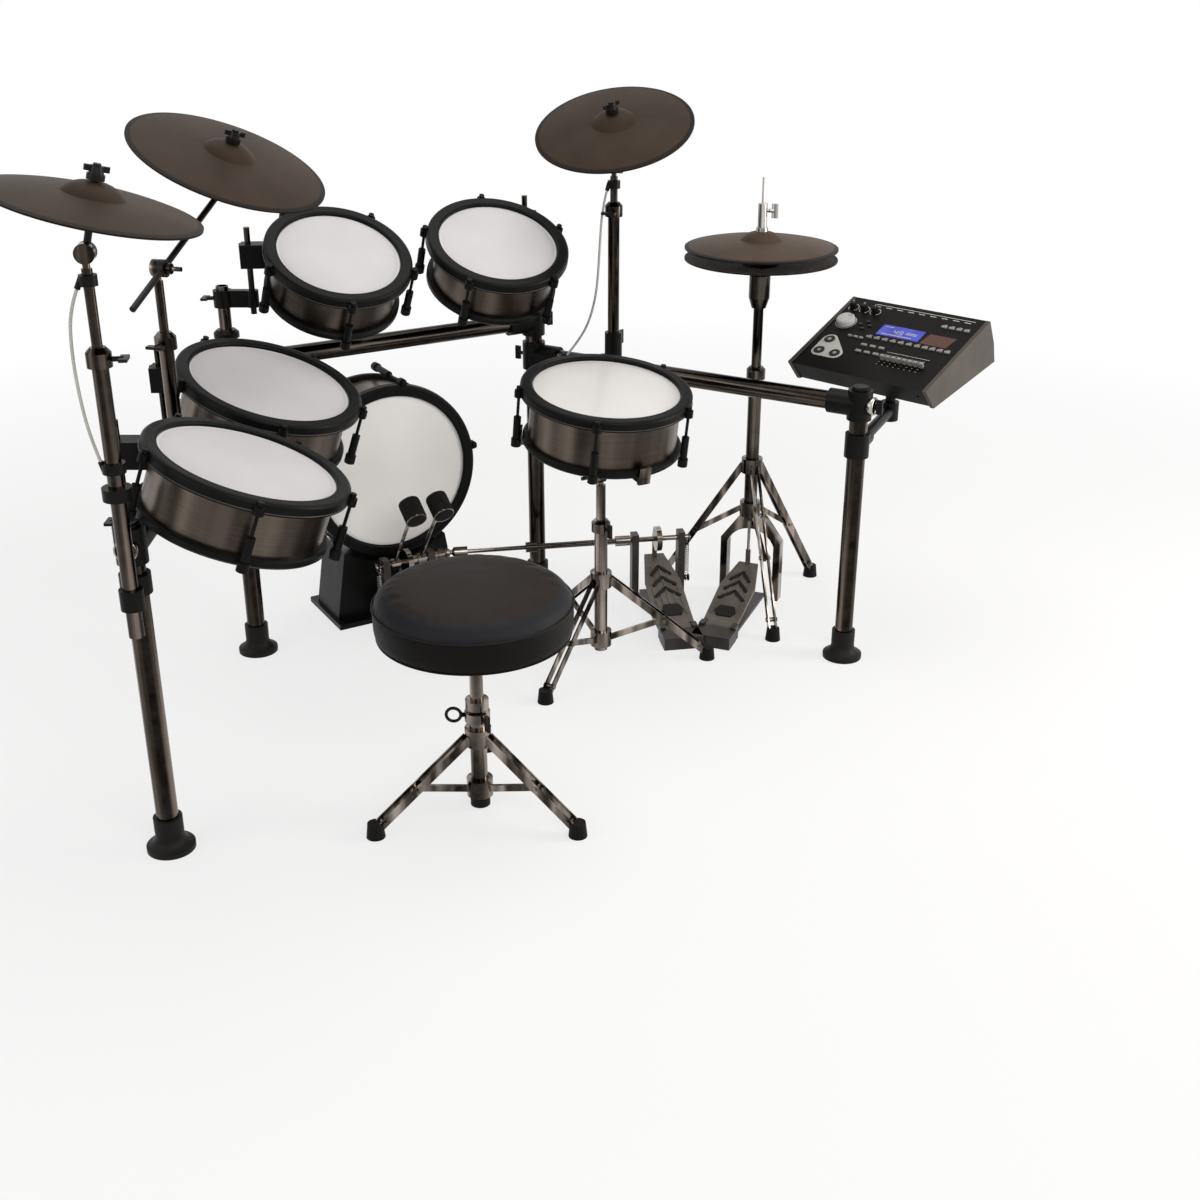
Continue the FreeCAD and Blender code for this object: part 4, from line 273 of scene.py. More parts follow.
# finishes of the rack, stands and castings; the metal ones carry painted reflection streaks in their colour
reflectionBandSetup = dict(upright=(60.0, 60.0, 1.2), rail=(1.5, 1.5, 95.0), stand=(42.0, 42.0, 4.0),
                 rod=(190.0, 190.0, 6.0), shaft=(5.0, 5.0, 120.0))
standShades = ((0.011, 0.0092, 0.0077), (0.400, 0.342, 0.290))
blackChrome = metalFinish("blackChrome", (0.0060, 0.0050, 0.0042), (0.190, 0.154, 0.127), rough=0.11,
                          bands=reflectionBandSetup["upright"], darkness=3.2)
railChrome = metalFinish("railChrome", (0.0080, 0.0066, 0.0056), (0.150, 0.123, 0.102), rough=0.12,
                         bands=reflectionBandSetup["rail"], darkness=2.3)
standChrome = metalFinish("standChrome", *standShades, rough=0.11, bands=reflectionBandSetup["stand"], darkness=1.7)
hatChrome = metalFinish("hatChrome", *standShades, rough=0.11, bands=reflectionBandSetup["stand"], darkness=1.7,
                        dimAbove=(0.36, 0.42))
shaftChrome = metalFinish("shaftChrome", (0.020, 0.0170, 0.0145), (0.330, 0.285, 0.242), rough=0.14,
                          bands=reflectionBandSetup["shaft"], darkness=1.5)
rodChrome = metalFinish("rodChrome", (0.10, 0.092, 0.085), (0.62, 0.585, 0.55), rough=0.10,
                        bands=reflectionBandSetup["rod"], darkness=1.0)
castBlack = mouldedFinish("castBlack", (0.0030, 0.0028, 0.0026), (0.0062, 0.0057, 0.0053), rough=0.27,
                          grain=700.0, bump=0.12, sheen=0.10)
wingCast = mouldedFinish("wingCast", (0.0050, 0.0045, 0.0041), (0.0100, 0.0090, 0.0081), rough=0.25,
                         grain=700.0, bump=0.10, sheen=0.14)
footRubber = mouldedFinish("footRubber", (0.0070, 0.0062, 0.0056), (0.0130, 0.0116, 0.0104), rough=0.44,
                           grain=1300.0, bump=0.25, sheen=0.12)
standRubber = mouldedFinish("standRubber", (0.0050, 0.0046, 0.0043), (0.0095, 0.0087, 0.0080), rough=0.46,
                            grain=1300.0, bump=0.25, sheen=0.08)
pedalGrey = mouldedFinish("pedalGrey", (0.022, 0.019, 0.0165), (0.044, 0.038, 0.033), rough=0.32,
                          grain=800.0, patch=22.0, bump=0.22, sheen=0.25)
boardGrey = mouldedFinish("boardGrey", (0.082, 0.069, 0.058), (0.160, 0.136, 0.115), rough=0.36,
                          grain=900.0, patch=26.0, bump=0.22, sheen=0.35)
for finish, nodeNames in (
        (blackChrome, ("rack_legs", "tom_rods", "cymbal_masts")), (railChrome, ("rack_rails",)),
        (standChrome, ("snare_stand", "snare_basket", "throne_base", "throne_post")),
        (hatChrome, ("hihat_stand",)), (rodChrome, ("hihat_rod",)),
        (shaftChrome, ("kick_beater", "second_beater", "drive_shaft")),
        (castBlack, ("rack_clamps", "kick_stand", "module_arm")),
        (wingCast, ("rack_wing_bolts", "crash_left_arm", "ride_arm", "crash_right_arm")),
        (footRubber, ("rack_feet",)), (standRubber, ("stand_feet",)), (pedalGrey, ("pedal_frames",)),
        (boardGrey, ("hihat_footboard", "kick_footboard", "slave_footboard"))):
    for nodeName in nodeNames:
        dress(nodeName, finish)
print("frame finished")


# outline of equal discs placed anticlockwise, with tangent sides
def roundedHull(centres, reach, steps=10):
    outline = []
    for before, here, after in zip(centres[-1:] + centres[:-1], centres, centres[1:] + centres[:1]):
        first = math.atan2(here[1] - before[1], here[0] - before[0]) - math.pi / 2
        last = math.atan2(after[1] - here[1], after[0] - here[0]) - math.pi / 2
        sweep = (last - first) % math.tau
        outline += [(here[0] + reach * math.cos(first + sweep * step / steps),
                     here[1] + reach * math.sin(first + sweep * step / steps)) for step in range(steps + 1)]
    return outline


def flatFace(bm, points, z=0.0):
    return bm.faces.new([bm.verts.new((x, y, z)) for x, y in points])


# outline of radius and height swept round an upright axis
def turned(bm, outline, steps, close=False, axis=(0, 0, 0)):
    corners = [bm.verts.new((axis[0] + reach, axis[1], height)) for reach, height in outline]
    edges = [bm.edges.new(pair) for pair in zip(corners, corners[1:] + (corners[:1] if close else []))]
    bmesh.ops.spin(bm, geom=corners + edges, cent=axis, axis=up, angle=math.tau, steps=steps,
                   use_merge=True)
    bmesh.ops.remove_doubles(bm, verts=bm.verts, dist=1e-5)
    bmesh.ops.recalc_face_normals(bm, faces=bm.faces)


def pipeOutline(radius, height, thick, corners=12):  # round section of a wire or piping
    return [(radius + thick * math.cos(math.tau * step / corners),
             height + thick * math.sin(math.tau * step / corners)) for step in range(corners)]


def joined(bm, part):  # adds one bmesh to another and frees it
    carried = bpy.data.meshes.new("carried")
    part.to_mesh(carried)
    part.free()
    bm.from_mesh(carried)
    bpy.data.meshes.remove(carried)


def moved(bm, place):
    bmesh.ops.transform(bm, matrix=place, verts=bm.verts)


def aimed(way):  # turns the local upright axis to a direction
    return Vector(way).to_track_quat("Z", "Y").to_matrix().to_4x4()


quarterTurn = Matrix.Rotation(math.pi / 2, 4, "X")

# tread inlays on the three footboards
treadSetup = dict(base=0.0034, tall=0.0026, arm=0.0042, half=0.030, sweep=0.030, edge=0.0008, bevel=0.6,
                  chevrons=(0.40, 0.55, 0.70), spread=1.25, taper=0.75,
                  heel=[(0.16, 0.014), (0.21, 0.020), (0.27, 0.014)], heelRound=0.0050)
treadRubber = mouldedFinish("treadRubber", (0.010, 0.0088, 0.0078), (0.019, 0.0167, 0.0148), rough=0.50,
                            grain=1300.0, bump=0.2, sheen=0.15)
boards = {
    "kick": dict(hinge=spot(-0.1168, 0.1567, 0.024), heading=90.0, slope=14.29, long=0.2755,
                 body="kick_pedal"),
    "slave": dict(hinge=spot(0.36575, -0.00025, 0.024), heading=69.69, slope=14.29, long=0.2755,
                  body="slave_pedal"),
    "hihat": dict(hinge=spot(0.4476, -0.0421, 0.024), heading=38.0, slope=15.68, long=0.2368,
                  body="hihat_pedal"),
}
for name, board in boards.items():
    bm = bmesh.new()
    for share in treadSetup["chevrons"]:
        tip = board["long"] * share + treadSetup["sweep"]
        reach = treadSetup["half"] * (treadSetup["spread"] - share * treadSetup["taper"])
        for side in (-1, 1):
            arm = [(board["long"] * share, side * reach), (tip, 0.0)]
            flatFace(bm, roundedHull(arm, treadSetup["arm"]))
    heel = [(board["long"] * share, -half) for share, half in treadSetup["heel"]]
    heel += [(along, -side) for along, side in reversed(heel)]
    flatFace(bm, roundedHull(heel, treadSetup["heelRound"], 4))
    bmesh.ops.recalc_face_normals(bm, faces=bm.faces)
    raisedFaces = bmesh.ops.extrude_face_region(bm, geom=bm.faces[:])["geom"]
    tops = [part for part in raisedFaces if isinstance(part, bmesh.types.BMVert)]
    bmesh.ops.translate(bm, verts=tops, vec=(0, 0, treadSetup["tall"]))
    bmesh.ops.inset_region(bm, faces=[part for part in raisedFaces if isinstance(part, bmesh.types.BMFace)],
                           thickness=treadSetup["edge"], depth=treadSetup["edge"] * treadSetup["bevel"])
    bmesh.ops.recalc_face_normals(bm, faces=bm.faces)
    heading = Matrix.Rotation(math.radians(board["heading"]), 4, "Z")
    slope = Matrix.Rotation(-math.radians(board["slope"]), 4, "Y")
    moved(bm, Matrix.Translation(board["hinge"]) @ heading @ slope
          @ Matrix.Translation((0, 0, treadSetup["base"])))
    finished(bm, name + "_treads", treadRubber, board["body"], smooth=False)
print("footboards inlaid")

# polished end rings on the two front rack joints
ringSetup = dict(height=0.572, steps=48, outline=[(0.0150, 0.0150), (0.0150, 0.0315), (0.0160, 0.0330),
                                                  (0.0180, 0.0330), (0.0190, 0.0318), (0.0190, 0.0150)])
endRings = {
    "endRingLeft": dict(leg=(-0.8588, -0.2605), way=(-0.5, -0.866, 0)),
    "endRingRight": dict(leg=(0.6252, -0.2605), way=(0.5, -0.866, 0)),
}
for name, ring in endRings.items():
    bm = bmesh.new()
    turned(bm, ringSetup["outline"], ringSetup["steps"], close=True)
    moved(bm, Matrix.Translation((*ring["leg"], ringSetup["height"])) @ aimed(ring["way"]))
    finished(bm, name, rodChrome, "rack")

# loop screw in the stool's collar
loopSetup = dict(axis=spot(-0.3318, -0.4103, 0.1875), way=spot(-0.862, 0.507, 0), reach=0.0425,
                 radius=0.0130, wire=0.0029, steps=40, start=0.0160, shankSteps=24,
                 shank=[(0.0, 0.0), (0.0042, 0.0), (0.0042, 0.0110), (0.0060, 0.0118), (0.0060, 0.0160),
                        (0.0, 0.0165)])
bm = bmesh.new()
turned(bm, pipeOutline(loopSetup["radius"], 0.0, loopSetup["wire"]), loopSetup["steps"], close=True)
loopPlace = Matrix.Translation(loopSetup["axis"] + loopSetup["way"] * loopSetup["reach"])
moved(bm, loopPlace @ aimed(loopSetup["way"].cross(up)))
finished(bm, "stoolLoop", wingCast, "rack")
bm = bmesh.new()
turned(bm, loopSetup["shank"], loopSetup["shankSteps"])
shankPlace = Matrix.Translation(loopSetup["axis"] + loopSetup["way"] * loopSetup["start"])
moved(bm, shankPlace @ aimed(loopSetup["way"]))
finished(bm, "stoolLoopShank", wingCast, "rack")

# return springs beside the two kick pedals, each between a bolt on the post and a button on the axle
springSetup = dict(wire=0.0011, sides=8, coil=0.0062, turns=14, turnSteps=18, low=0.058, high=0.132,
                   gap=0.0690, eye=0.0078, eyeZ=(0.046, 0.1430), eyeSteps=24, boltZ=0.046, buttonZ=0.150,
                   pinSteps=24,
                   bolt=[(0.0, 0.0620), (0.0052, 0.0620), (0.0052, 0.0735),
                         (0.0086, 0.0740), (0.0086, 0.0770), (0.0, 0.0775)],
                   button=[(0.0, 0.0640), (0.0056, 0.0640), (0.0056, 0.0735),
                           (0.0095, 0.0740), (0.0095, 0.0770), (0.0, 0.0775)])
springs = {
    "kickSpring": dict(place=(-0.1168, 0.3827, 0), heading=90.0, side=1, body="main_beater"),
    "slaveSpring": dict(place=(0.4442, 0.2117, 0), heading=69.69, side=-1, body="shaft"),
}
for name, spring in springs.items():
    base = Matrix.Translation(spring["place"]) @ Matrix.Rotation(math.radians(spring["heading"]), 4, "Z")
    bm = bmesh.new()
    section = bmesh.ops.create_circle(bm, segments=springSetup["sides"],
                                      radius=springSetup["wire"])["verts"]
    moved(bm, Matrix.Translation((springSetup["coil"], 0, springSetup["low"])) @ quarterTurn)
    steps = springSetup["turns"] * springSetup["turnSteps"]
    rise = (springSetup["high"] - springSetup["low"]) / steps
    bmesh.ops.spin(bm, geom=section + bm.edges[:], cent=(0, 0, 0), axis=up, dvec=(0, 0, rise),
                   angle=springSetup["turns"] * math.tau, steps=steps)
    bmesh.ops.holes_fill(bm, edges=[edge for edge in bm.edges if edge.is_boundary],
                         sides=springSetup["sides"])
    for height in springSetup["eyeZ"]:  # wire loops round the two pins
        eye = bmesh.new()
        turned(eye, pipeOutline(springSetup["eye"], 0.0, springSetup["wire"], springSetup["sides"]),
               springSetup["eyeSteps"], close=True)
        moved(eye, Matrix.Translation((0, 0, height)) @ quarterTurn)
        joined(bm, eye)
    bmesh.ops.recalc_face_normals(bm, faces=bm.faces)
    moved(bm, base @ Matrix.Translation((0, spring["side"] * springSetup["gap"], 0)))
    finished(bm, name, rodChrome, "rack")
    outward = Matrix.Rotation(-spring["side"] * math.pi / 2, 4, "X")
    pins = dict(bolt=(springSetup["boltZ"], wingCast, "rack", "cast_black"),
                button=(springSetup["buttonZ"], shaftChrome, spring["body"], "stand_chrome"))
    for pin, (height, finish, body, slotName) in pins.items():
        bm = bmesh.new()
        turned(bm, springSetup[pin], springSetup["pinSteps"])
        moved(bm, base @ Matrix.Translation((0, 0, height)) @ outward)
        finished(bm, name + pin.capitalize(), finish, body)
print("small fittings added")

# drums: where each head lies, which way it faces and which way its lugs start
legRearLeft, legRearRight, railOut = spot(-0.4678, 0.4167, 0), spot(0.2342, 0.4167, 0), spot(-0.866, 0.5, 0)
drums = {
    "tom_1": dict(centre=spot(-0.2648, 0.2907, 0.871), normal=spot(0.021, -0.483, 0.875), radius=0.127,
                  toLeg=legRearLeft),
    "tom_2": dict(centre=spot(0.0632, 0.2427, 0.869), normal=spot(-0.039, -0.454, 0.890), radius=0.127,
                  toLeg=legRearRight),
    "tom_3": dict(centre=spot(-0.4928, 0.0917, 0.692), normal=spot(0.215, -0.247, 0.945), radius=0.1525,
                  side=railOut),
    "tom_4": dict(centre=spot(-0.6578, -0.2653, 0.672), normal=spot(0.309, -0.133, 0.942), radius=0.1525,
                  side=railOut),
    "snare": dict(centre=spot(0.1462, -0.0543, 0.622), normal=spot(0.013, -0.145, 0.989), radius=0.1525,
                  side=spot(0, -1, 0)),
    "kick": dict(centre=spot(-0.1168, 0.4367, 0.348), normal=spot(0, -1, 0), radius=0.178,
                 side=spot(0.88295, 0, -0.46947)),
}
for name, drum in drums.items():
    toward = drum["side"] if "side" in drum else (drum["toLeg"] - drum["centre"]) * spot(1, 1, 0)
    normal = drum["normal"].normalized()
    across = (toward - normal * normal.dot(toward)).normalized()
    drum["body"] = "rack" if name == "kick" else name
    drum["frame"] = Matrix((across, normal.cross(across), normal)).transposed().to_4x4()
    drum["frame"].translation = drum["centre"]
    drum["turn"] = drum["frame"].to_euler()


def radial(tree, local):  # distance from the piece's own axis
    flat = put(tree, "VectorMath", {0: local, 1: (1.0, 1.0, 0.0)}, operation="MULTIPLY").outputs[0]
    return put(tree, "VectorMath", {0: flat}, operation="LENGTH").outputs["Value"]


# the kick head's two colours are the film made paler, painted light standing in for the sun on it
headSetup = dict(mesh=(0.610, 0.598, 0.606), shade=(0.560, 0.548, 0.556),
                 film=(0.760, 0.742, 0.722), haze=(0.690, 0.673, 0.654),
                 sunlitFilm=(0.880, 0.862, 0.842), sunlitHaze=(0.820, 0.803, 0.784),
                 rim=(0.74, 0.73, 0.735), rimBand=(0.011, 0.008), pitch=2400.0)
headLooks = {
    "snare": dict(rough=0.42, coat=0.35, weave=0.03, shades=("film", "haze")),
    # kick: film painted paler for the sunlight falling on it
    "kick": dict(rough=0.42, coat=0.35, weave=0.03, shades=("sunlitFilm", "sunlitHaze")),
}
tomLook = dict(rough=0.62, coat=0.04, weave=0.10, shades=("mesh", "shade"))


def headFinish(name, drum, rough, coat, weave, shades):
    material, tree, shader = newMaterial(name + "Head")
    local = placed(tree, drum["centre"], drum["turn"])
    skin = useGroup(tree, fineGrain, Vector=local, **{"Grain Size": 500.0, "Patch Size": 5.0})
    cloth = blendColour(tree, skin["Patch"], *(tint(headSetup[shade]) for shade in shades))
    reach = radial(tree, local)
    rimMask = remap(tree, reach, *(drum["radius"] - inset for inset in headSetup["rimBand"]), 0.0, 1.0)
    wire(tree, blendColour(tree, rimMask, cloth, tint(headSetup["rim"])), shader.inputs["Base Color"])
    wire(tree, remap(tree, skin["Patch"], 0.0, 1.0, rough, rough + 0.08), shader.inputs["Roughness"])
    shader.inputs["Coat Weight"].default_value = coat
    shader.inputs["Coat Roughness"].default_value = 0.12
    threads = [put(tree, "TexWave",
                   {"Vector": local, "Scale": headSetup["pitch"] / math.tau, "Distortion": 0.0},
                   bands_direction=way).outputs["Fac"] for way in ("X", "Y")]
    raised(tree, shader, maths(tree, "ADD", threads[0], threads[1]), weave, 0.0002)
    return material


# drum shells: fine brushed lines under broad upright bands of painted reflection
shellSetup = dict(dark=(0.0165, 0.0130, 0.0103), light=(0.235, 0.190, 0.153), rough=0.30,
                  bands=(15.0, 15.0, 0.5), darkness=1.3, lines=(7.0, 7.0, 1500.0), share=0.22, bump=0.12)
hoopBlack = mouldedFinish("hoopBlack", (0.0030, 0.0029, 0.0028), (0.0064, 0.0061, 0.0058), rough=0.34,
                          grain=1000.0, bump=0.14, sheen=0.08)
trimSetup = dict(reach=0.0200, height=-0.0098, thick=0.0010, sides=8, steps=96)
trimGrey = mouldedFinish("trimGrey", (0.024, 0.022, 0.020), (0.040, 0.037, 0.034), rough=0.30, grain=900.0,
                         bump=0.08, sheen=0.4)
for name, drum in drums.items():
    dress(name + "_head", headFinish(name, drum, **headLooks.get(name, tomLook)))
    shell = metalFinish(name + "Shell", centre=drum["centre"], turn=drum["turn"], **shellSetup)
    dress(name + "_shell", shell)
    dress(name + "_hardware", hoopBlack)
    bm = bmesh.new()
    section = bmesh.ops.create_circle(bm, segments=trimSetup["sides"], radius=trimSetup["thick"])["verts"]
    outside = drum["radius"] + trimSetup["reach"]
    moved(bm, Matrix.Translation((outside, 0, trimSetup["height"])) @ quarterTurn)
    bmesh.ops.spin(bm, geom=section + bm.edges[:], cent=(0, 0, 0), axis=up, angle=math.tau,
                   steps=trimSetup["steps"], use_merge=True)
    bmesh.ops.remove_doubles(bm, verts=bm.verts, dist=1e-5)
    bmesh.ops.recalc_face_normals(bm, faces=bm.faces)
    moved(bm, drum["frame"])
    finished(bm, name + "_trim", trimGrey, drum["body"])
print("drums finished")

# cymbal pads: lathe rings on rubber, a darker edge band and a smoother bell
cymbalSetup = dict(base=(0.037, 0.0250, 0.0168), light=(0.056, 0.0385, 0.0268),
                   edge=(0.014, 0.0104, 0.0080), ring=0.0021, edgeBand=(0.010, 0.007), bell=(0.043, 0.047))
cymbals = {
    "crash_left_cymbal": dict(centre=spot(-0.8618, -0.3173, 1.108), normal=spot(0.232, -0.099, 0.968),
                              radius=0.156),
    "ride_cymbal": dict(centre=spot(-0.5148, 0.1517, 1.085), normal=spot(0.249, -0.327, 0.912),
                        radius=0.178),
    "crash_right_cymbal": dict(centre=spot(0.3191, 0.2065, 1.0817), normal=spot(-0.307, -0.265, 0.914),
                               radius=0.165),
    # lift on the hi-hat pads is painted sheen: the same rubber as the other pads, made paler
    "hihat_top": dict(centre=spot(0.6202, 0.0927, 0.828), normal=spot(0, 0, 1), radius=0.165, lift=1.8),
    "hihat_bottom": dict(centre=spot(0.6202, 0.0927, 0.808), normal=spot(0, 0, 1), radius=0.165, lift=1.8),
}


def cymbalFinish(name, cymbal):
    material, tree, shader = newMaterial(name + "Rubber")
    local = placed(tree, cymbal["centre"], cymbal["normal"].to_track_quat("Z", "Y").to_euler())
    reach = radial(tree, local)
    rings = put(tree, "TexWave", {"Vector": local, "Scale": 0.5 / cymbalSetup["ring"], "Distortion": 0.6,
                                  "Detail": 2.0}, wave_type="RINGS", rings_direction="Z").outputs["Fac"]
    skin = useGroup(tree, fineGrain, Vector=local, **{"Grain Size": 1100.0, "Patch Size": 8.0})
    paintedSheenLift = cymbal.get("lift", 1.0)  # painted sheen: the hi-hat's rubber is made paler to stand in for the light it catches lying flat
    shades = [tint([part * paintedSheenLift for part in cymbalSetup[shade]]) for shade in ("base", "light")]
    body = blendColour(tree, skin["Patch"], *shades)
    lathed = blendColour(tree, remap(tree, rings, 0.0, 1.0, 0.0, 0.35), body, tint(cymbalSetup["edge"]))
    edgeBand = [cymbal["radius"] - inset for inset in cymbalSetup["edgeBand"]]
    edgeMask = remap(tree, reach, *edgeBand, 0.0, 1.0)
    wire(tree, blendColour(tree, edgeMask, lathed, tint(cymbalSetup["edge"])), shader.inputs["Base Color"])
    wire(tree, remap(tree, rings, 0.0, 1.0, 0.40, 0.52), shader.inputs["Roughness"])
    shader.inputs["Specular IOR Level"].default_value = 0.045
    outside = remap(tree, reach, *cymbalSetup["bell"], 0.15, 1.0)
    raised(tree, shader, maths(tree, "MULTIPLY", rings, outside), 0.22, 0.0006)
    return material


for name, cymbal in cymbals.items():
    dress(name, cymbalFinish(name, cymbal))
print("cymbals finished")

# felt heads over the two beaters
beaterSetup = dict(axleZ=0.150, axleY=0.3827, side=0.032, middleX=-0.1168, long=0.205, lean=36.0,
                   radius=0.0238, width=0.0516, rounding=0.005, sides=40)
beaterFelt = mouldedFinish("beaterFelt", (0.010, 0.0097, 0.0094), (0.022, 0.021, 0.020), rough=0.82,
                           grain=1500.0, patch=60.0, bump=0.6, sheen=0.06)
for name, body, sign in (("mainBeaterFelt", "main_beater", -1), ("secondBeaterFelt", "left_beater", 1)):
    lean = math.radians(beaterSetup["lean"])
    way = spot(0, -math.sin(lean), math.cos(lean))
    middle = spot(beaterSetup["middleX"] + sign * beaterSetup["side"], beaterSetup["axleY"],
                  beaterSetup["axleZ"]) + way * beaterSetup["long"]
    bm = bmesh.new()
    bmesh.ops.create_cone(bm, cap_ends=True, segments=beaterSetup["sides"], radius1=beaterSetup["radius"],
                          radius2=beaterSetup["radius"], depth=beaterSetup["width"])
    rims = [edge for edge in bm.edges if abs(edge.verts[0].co.z - edge.verts[1].co.z) < 1e-6]
    bmesh.ops.bevel(bm, geom=rims, offset=beaterSetup["rounding"], affect="EDGES", segments=4, profile=0.5,
                    material=-1)
    strike = Euler((lean + math.pi / 2, 0, 0)).to_matrix().to_4x4()
    moved(bm, Matrix.Translation(middle) @ strike)
    finished(bm, name, beaterFelt, body)
print("beaters covered")

# padded seat: turned form, blown up a little by cloth pressure, then piped
seatSetup = dict(axis=spot(-0.3318, -0.4103, 0), voxel=0.005, pressure=4.0, frames=20, bending=3.0,
                 cap=0.0022, under=0.3535,
                 profile=[(0.0, 0.3470), (0.150, 0.3470), (0.163, 0.3490), (0.1705, 0.3545),
                          (0.1730, 0.3640), (0.1736, 0.3850), (0.1736, 0.4040), (0.1724, 0.4120),
                          (0.1690, 0.4205), (0.1622, 0.4285), (0.1535, 0.4340), (0.1470, 0.4358),
                          (0.1100, 0.4395), (0.0600, 0.4415), (0.0, 0.4425)],
                 # the band colour below the upper seam is painted shade on the side; the shoulder colour is
                 # a painted bluish sheen on the top's rounded edge
                 leather=(0.0125, 0.0090, 0.0078), worn=(0.0205, 0.0152, 0.0132),
                 paintedBand=(0.0040, 0.0033, 0.0029), shoulderSheen=(0.0150, 0.0152, 0.0175), sheenBrow=(0.1445, 0.1505),
                 sheenFrom=(0.4080, 0.4110), shadedSideTo=(0.4080, 0.4095), steps=96,
                 seams=[(0.1741, 0.4085, 0.0014), (0.1690, 0.3528, 0.0016)])


def leatherFinish():
    material, tree, shader = newMaterial("seatLeather")
    local = placed(tree)
    pores = put(tree, "TexVoronoi", {"Vector": local, "Scale": 520.0, "Randomness": 0.9},
                feature="DISTANCE_TO_EDGE").outputs["Distance"]
    skin = useGroup(tree, fineGrain, Vector=local, **{"Grain Size": 260.0, "Patch Size": 11.0})
    hide = blendColour(tree, skin["Patch"], tint(seatSetup["leather"]), tint(seatSetup["worn"]))
    around = radial(tree, placed(tree, seatSetup["axis"]))
    height = put(tree, "SeparateXYZ", {"Vector": local}).outputs["Z"]
    # painted sheen on the top's rounded shoulder
    slope = maths(tree, "MULTIPLY", remap(tree, around, *seatSetup["sheenBrow"], 0.0, 1.0),
                  remap(tree, height, *seatSetup["sheenFrom"], 0.0, 1.0))
    # painted shade: below the upper seam the side takes the dark band colour
    above = remap(tree, height, *seatSetup["shadedSideTo"], 0.0, 1.0)
    cover = blendColour(tree, slope, hide, tint(seatSetup["shoulderSheen"]))
    wire(tree, blendColour(tree, above, tint(seatSetup["paintedBand"]), cover), shader.inputs["Base Color"])
    wire(tree, remap(tree, skin["Patch"], 0.0, 1.0, 0.44, 0.56), shader.inputs["Roughness"])
    folds = maths(tree, "ADD", remap(tree, pores, 0.0, 0.25, 0.0, 1.0),
                  maths(tree, "MULTIPLY", skin["Height"], 0.5))
    raised(tree, shader, folds, 0.22, 0.0006)
    shader.inputs["Specular IOR Level"].default_value = 0.09
    return material


seatLeather = leatherFinish()
bm = bmesh.new()
turned(bm, seatSetup["profile"], seatSetup["steps"], axis=seatSetup["axis"])
cushion = finished(bm, "seatCushion", seatLeather, "seat")
remesh = cushion.modifiers.new("evenFaces", "REMESH")
remesh.mode = "VOXEL"
remesh.voxel_size = seatSetup["voxel"]
evenMesh = bpy.data.meshes.new_from_object(cushion.evaluated_get(bpy.context.evaluated_depsgraph_get()))
cushion.modifiers.clear()
cushion.data = evenMesh
for face in cushion.data.polygons:
    face.use_smooth = True
held = cushion.vertex_groups.new(name="held")
held.add([v.index for v in cushion.data.vertices if v.co.z < seatSetup["under"]], 1.0, "REPLACE")
blow = cushion.modifiers.new("blow", "CLOTH")
blow.settings.use_pressure = True
blow.settings.uniform_pressure_force = seatSetup["pressure"]
blow.settings.effector_weights.gravity = 0
blow.settings.vertex_group_mass = "held"
blow.settings.bending_stiffness = seatSetup["bending"]
blow.point_cache.frame_start = 1
blow.point_cache.frame_end = seatSetup["frames"]
for step in range(1, seatSetup["frames"] + 1):
    scene.frame_set(step)
blown = cushion.evaluated_get(bpy.context.evaluated_depsgraph_get()).data
for rest, puffed in zip(cushion.data.vertices, blown.vertices):
    shift = puffed.co - rest.co
    rest.co += shift.normalized() * min(shift.length, seatSetup["cap"])
cushion.modifiers.clear()
scene.frame_set(1)
soften = cushion.modifiers.new("soften", "SUBSURF")
soften.levels = soften.render_levels = 1
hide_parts("throne_seat")
bm = bmesh.new()
for reach, height, thick in seatSetup["seams"]:
    turned(bm, pipeOutline(reach, height, thick), seatSetup["steps"], close=True, axis=seatSetup["axis"])
finished(bm, "seatPiping", seatLeather, "seat")
print("seat padded")

# sound module
moduleSetup = dict(place=spot(0.8122, -0.1193, 0.645), heading=-72.6, tilt=22.4, cheekX=0.1634,
                   panel=[(0.0030, 0.0023, 0.0019), (0.0056, 0.0044, 0.0037)],
                   cheek=[(0.066, 0.058, 0.052), (0.092, 0.082, 0.075)])
moduleFrame = (Matrix.Translation(moduleSetup["place"])
               @ Matrix.Rotation(math.radians(moduleSetup["heading"]), 4, "Z")
               @ Matrix.Rotation(math.radians(moduleSetup["tilt"]), 4, "X"))
moduleTurn = moduleFrame.to_euler()


def caseFinish():
    material, tree, shader = newMaterial("moduleCase")
    local = placed(tree, moduleSetup["place"], moduleTurn)
    skin = useGroup(tree, fineGrain, Vector=local, **{"Grain Size": 1100.0, "Patch Size": 9.0})
    panel = blendColour(tree, skin["Patch"], *(tint(shade) for shade in moduleSetup["panel"]))
    cheek = blendColour(tree, skin["Patch"], *(tint(shade) for shade in moduleSetup["cheek"]))
    parts = put(tree, "SeparateXYZ", {"Vector": local}).outputs
    sideMask = maths(tree, "GREATER_THAN", maths(tree, "ABSOLUTE", parts["X"]), moduleSetup["cheekX"])
    wire(tree, blendColour(tree, sideMask, panel, cheek), shader.inputs["Base Color"])
    wire(tree, remap(tree, skin["Patch"], 0.0, 1.0, 0.36, 0.50), shader.inputs["Roughness"])
    raised(tree, shader, skin["Height"], 0.16, 0.0004)
    shader.inputs["Specular IOR Level"].default_value = 0.06
    return material


screenSetup = dict(cells=[(0.010, 0.016, 0.20), (0.014, 0.022, 0.25)], glow=(0.05, 0.07, 0.55),
                   cellScale=1400.0, strength=0.6)


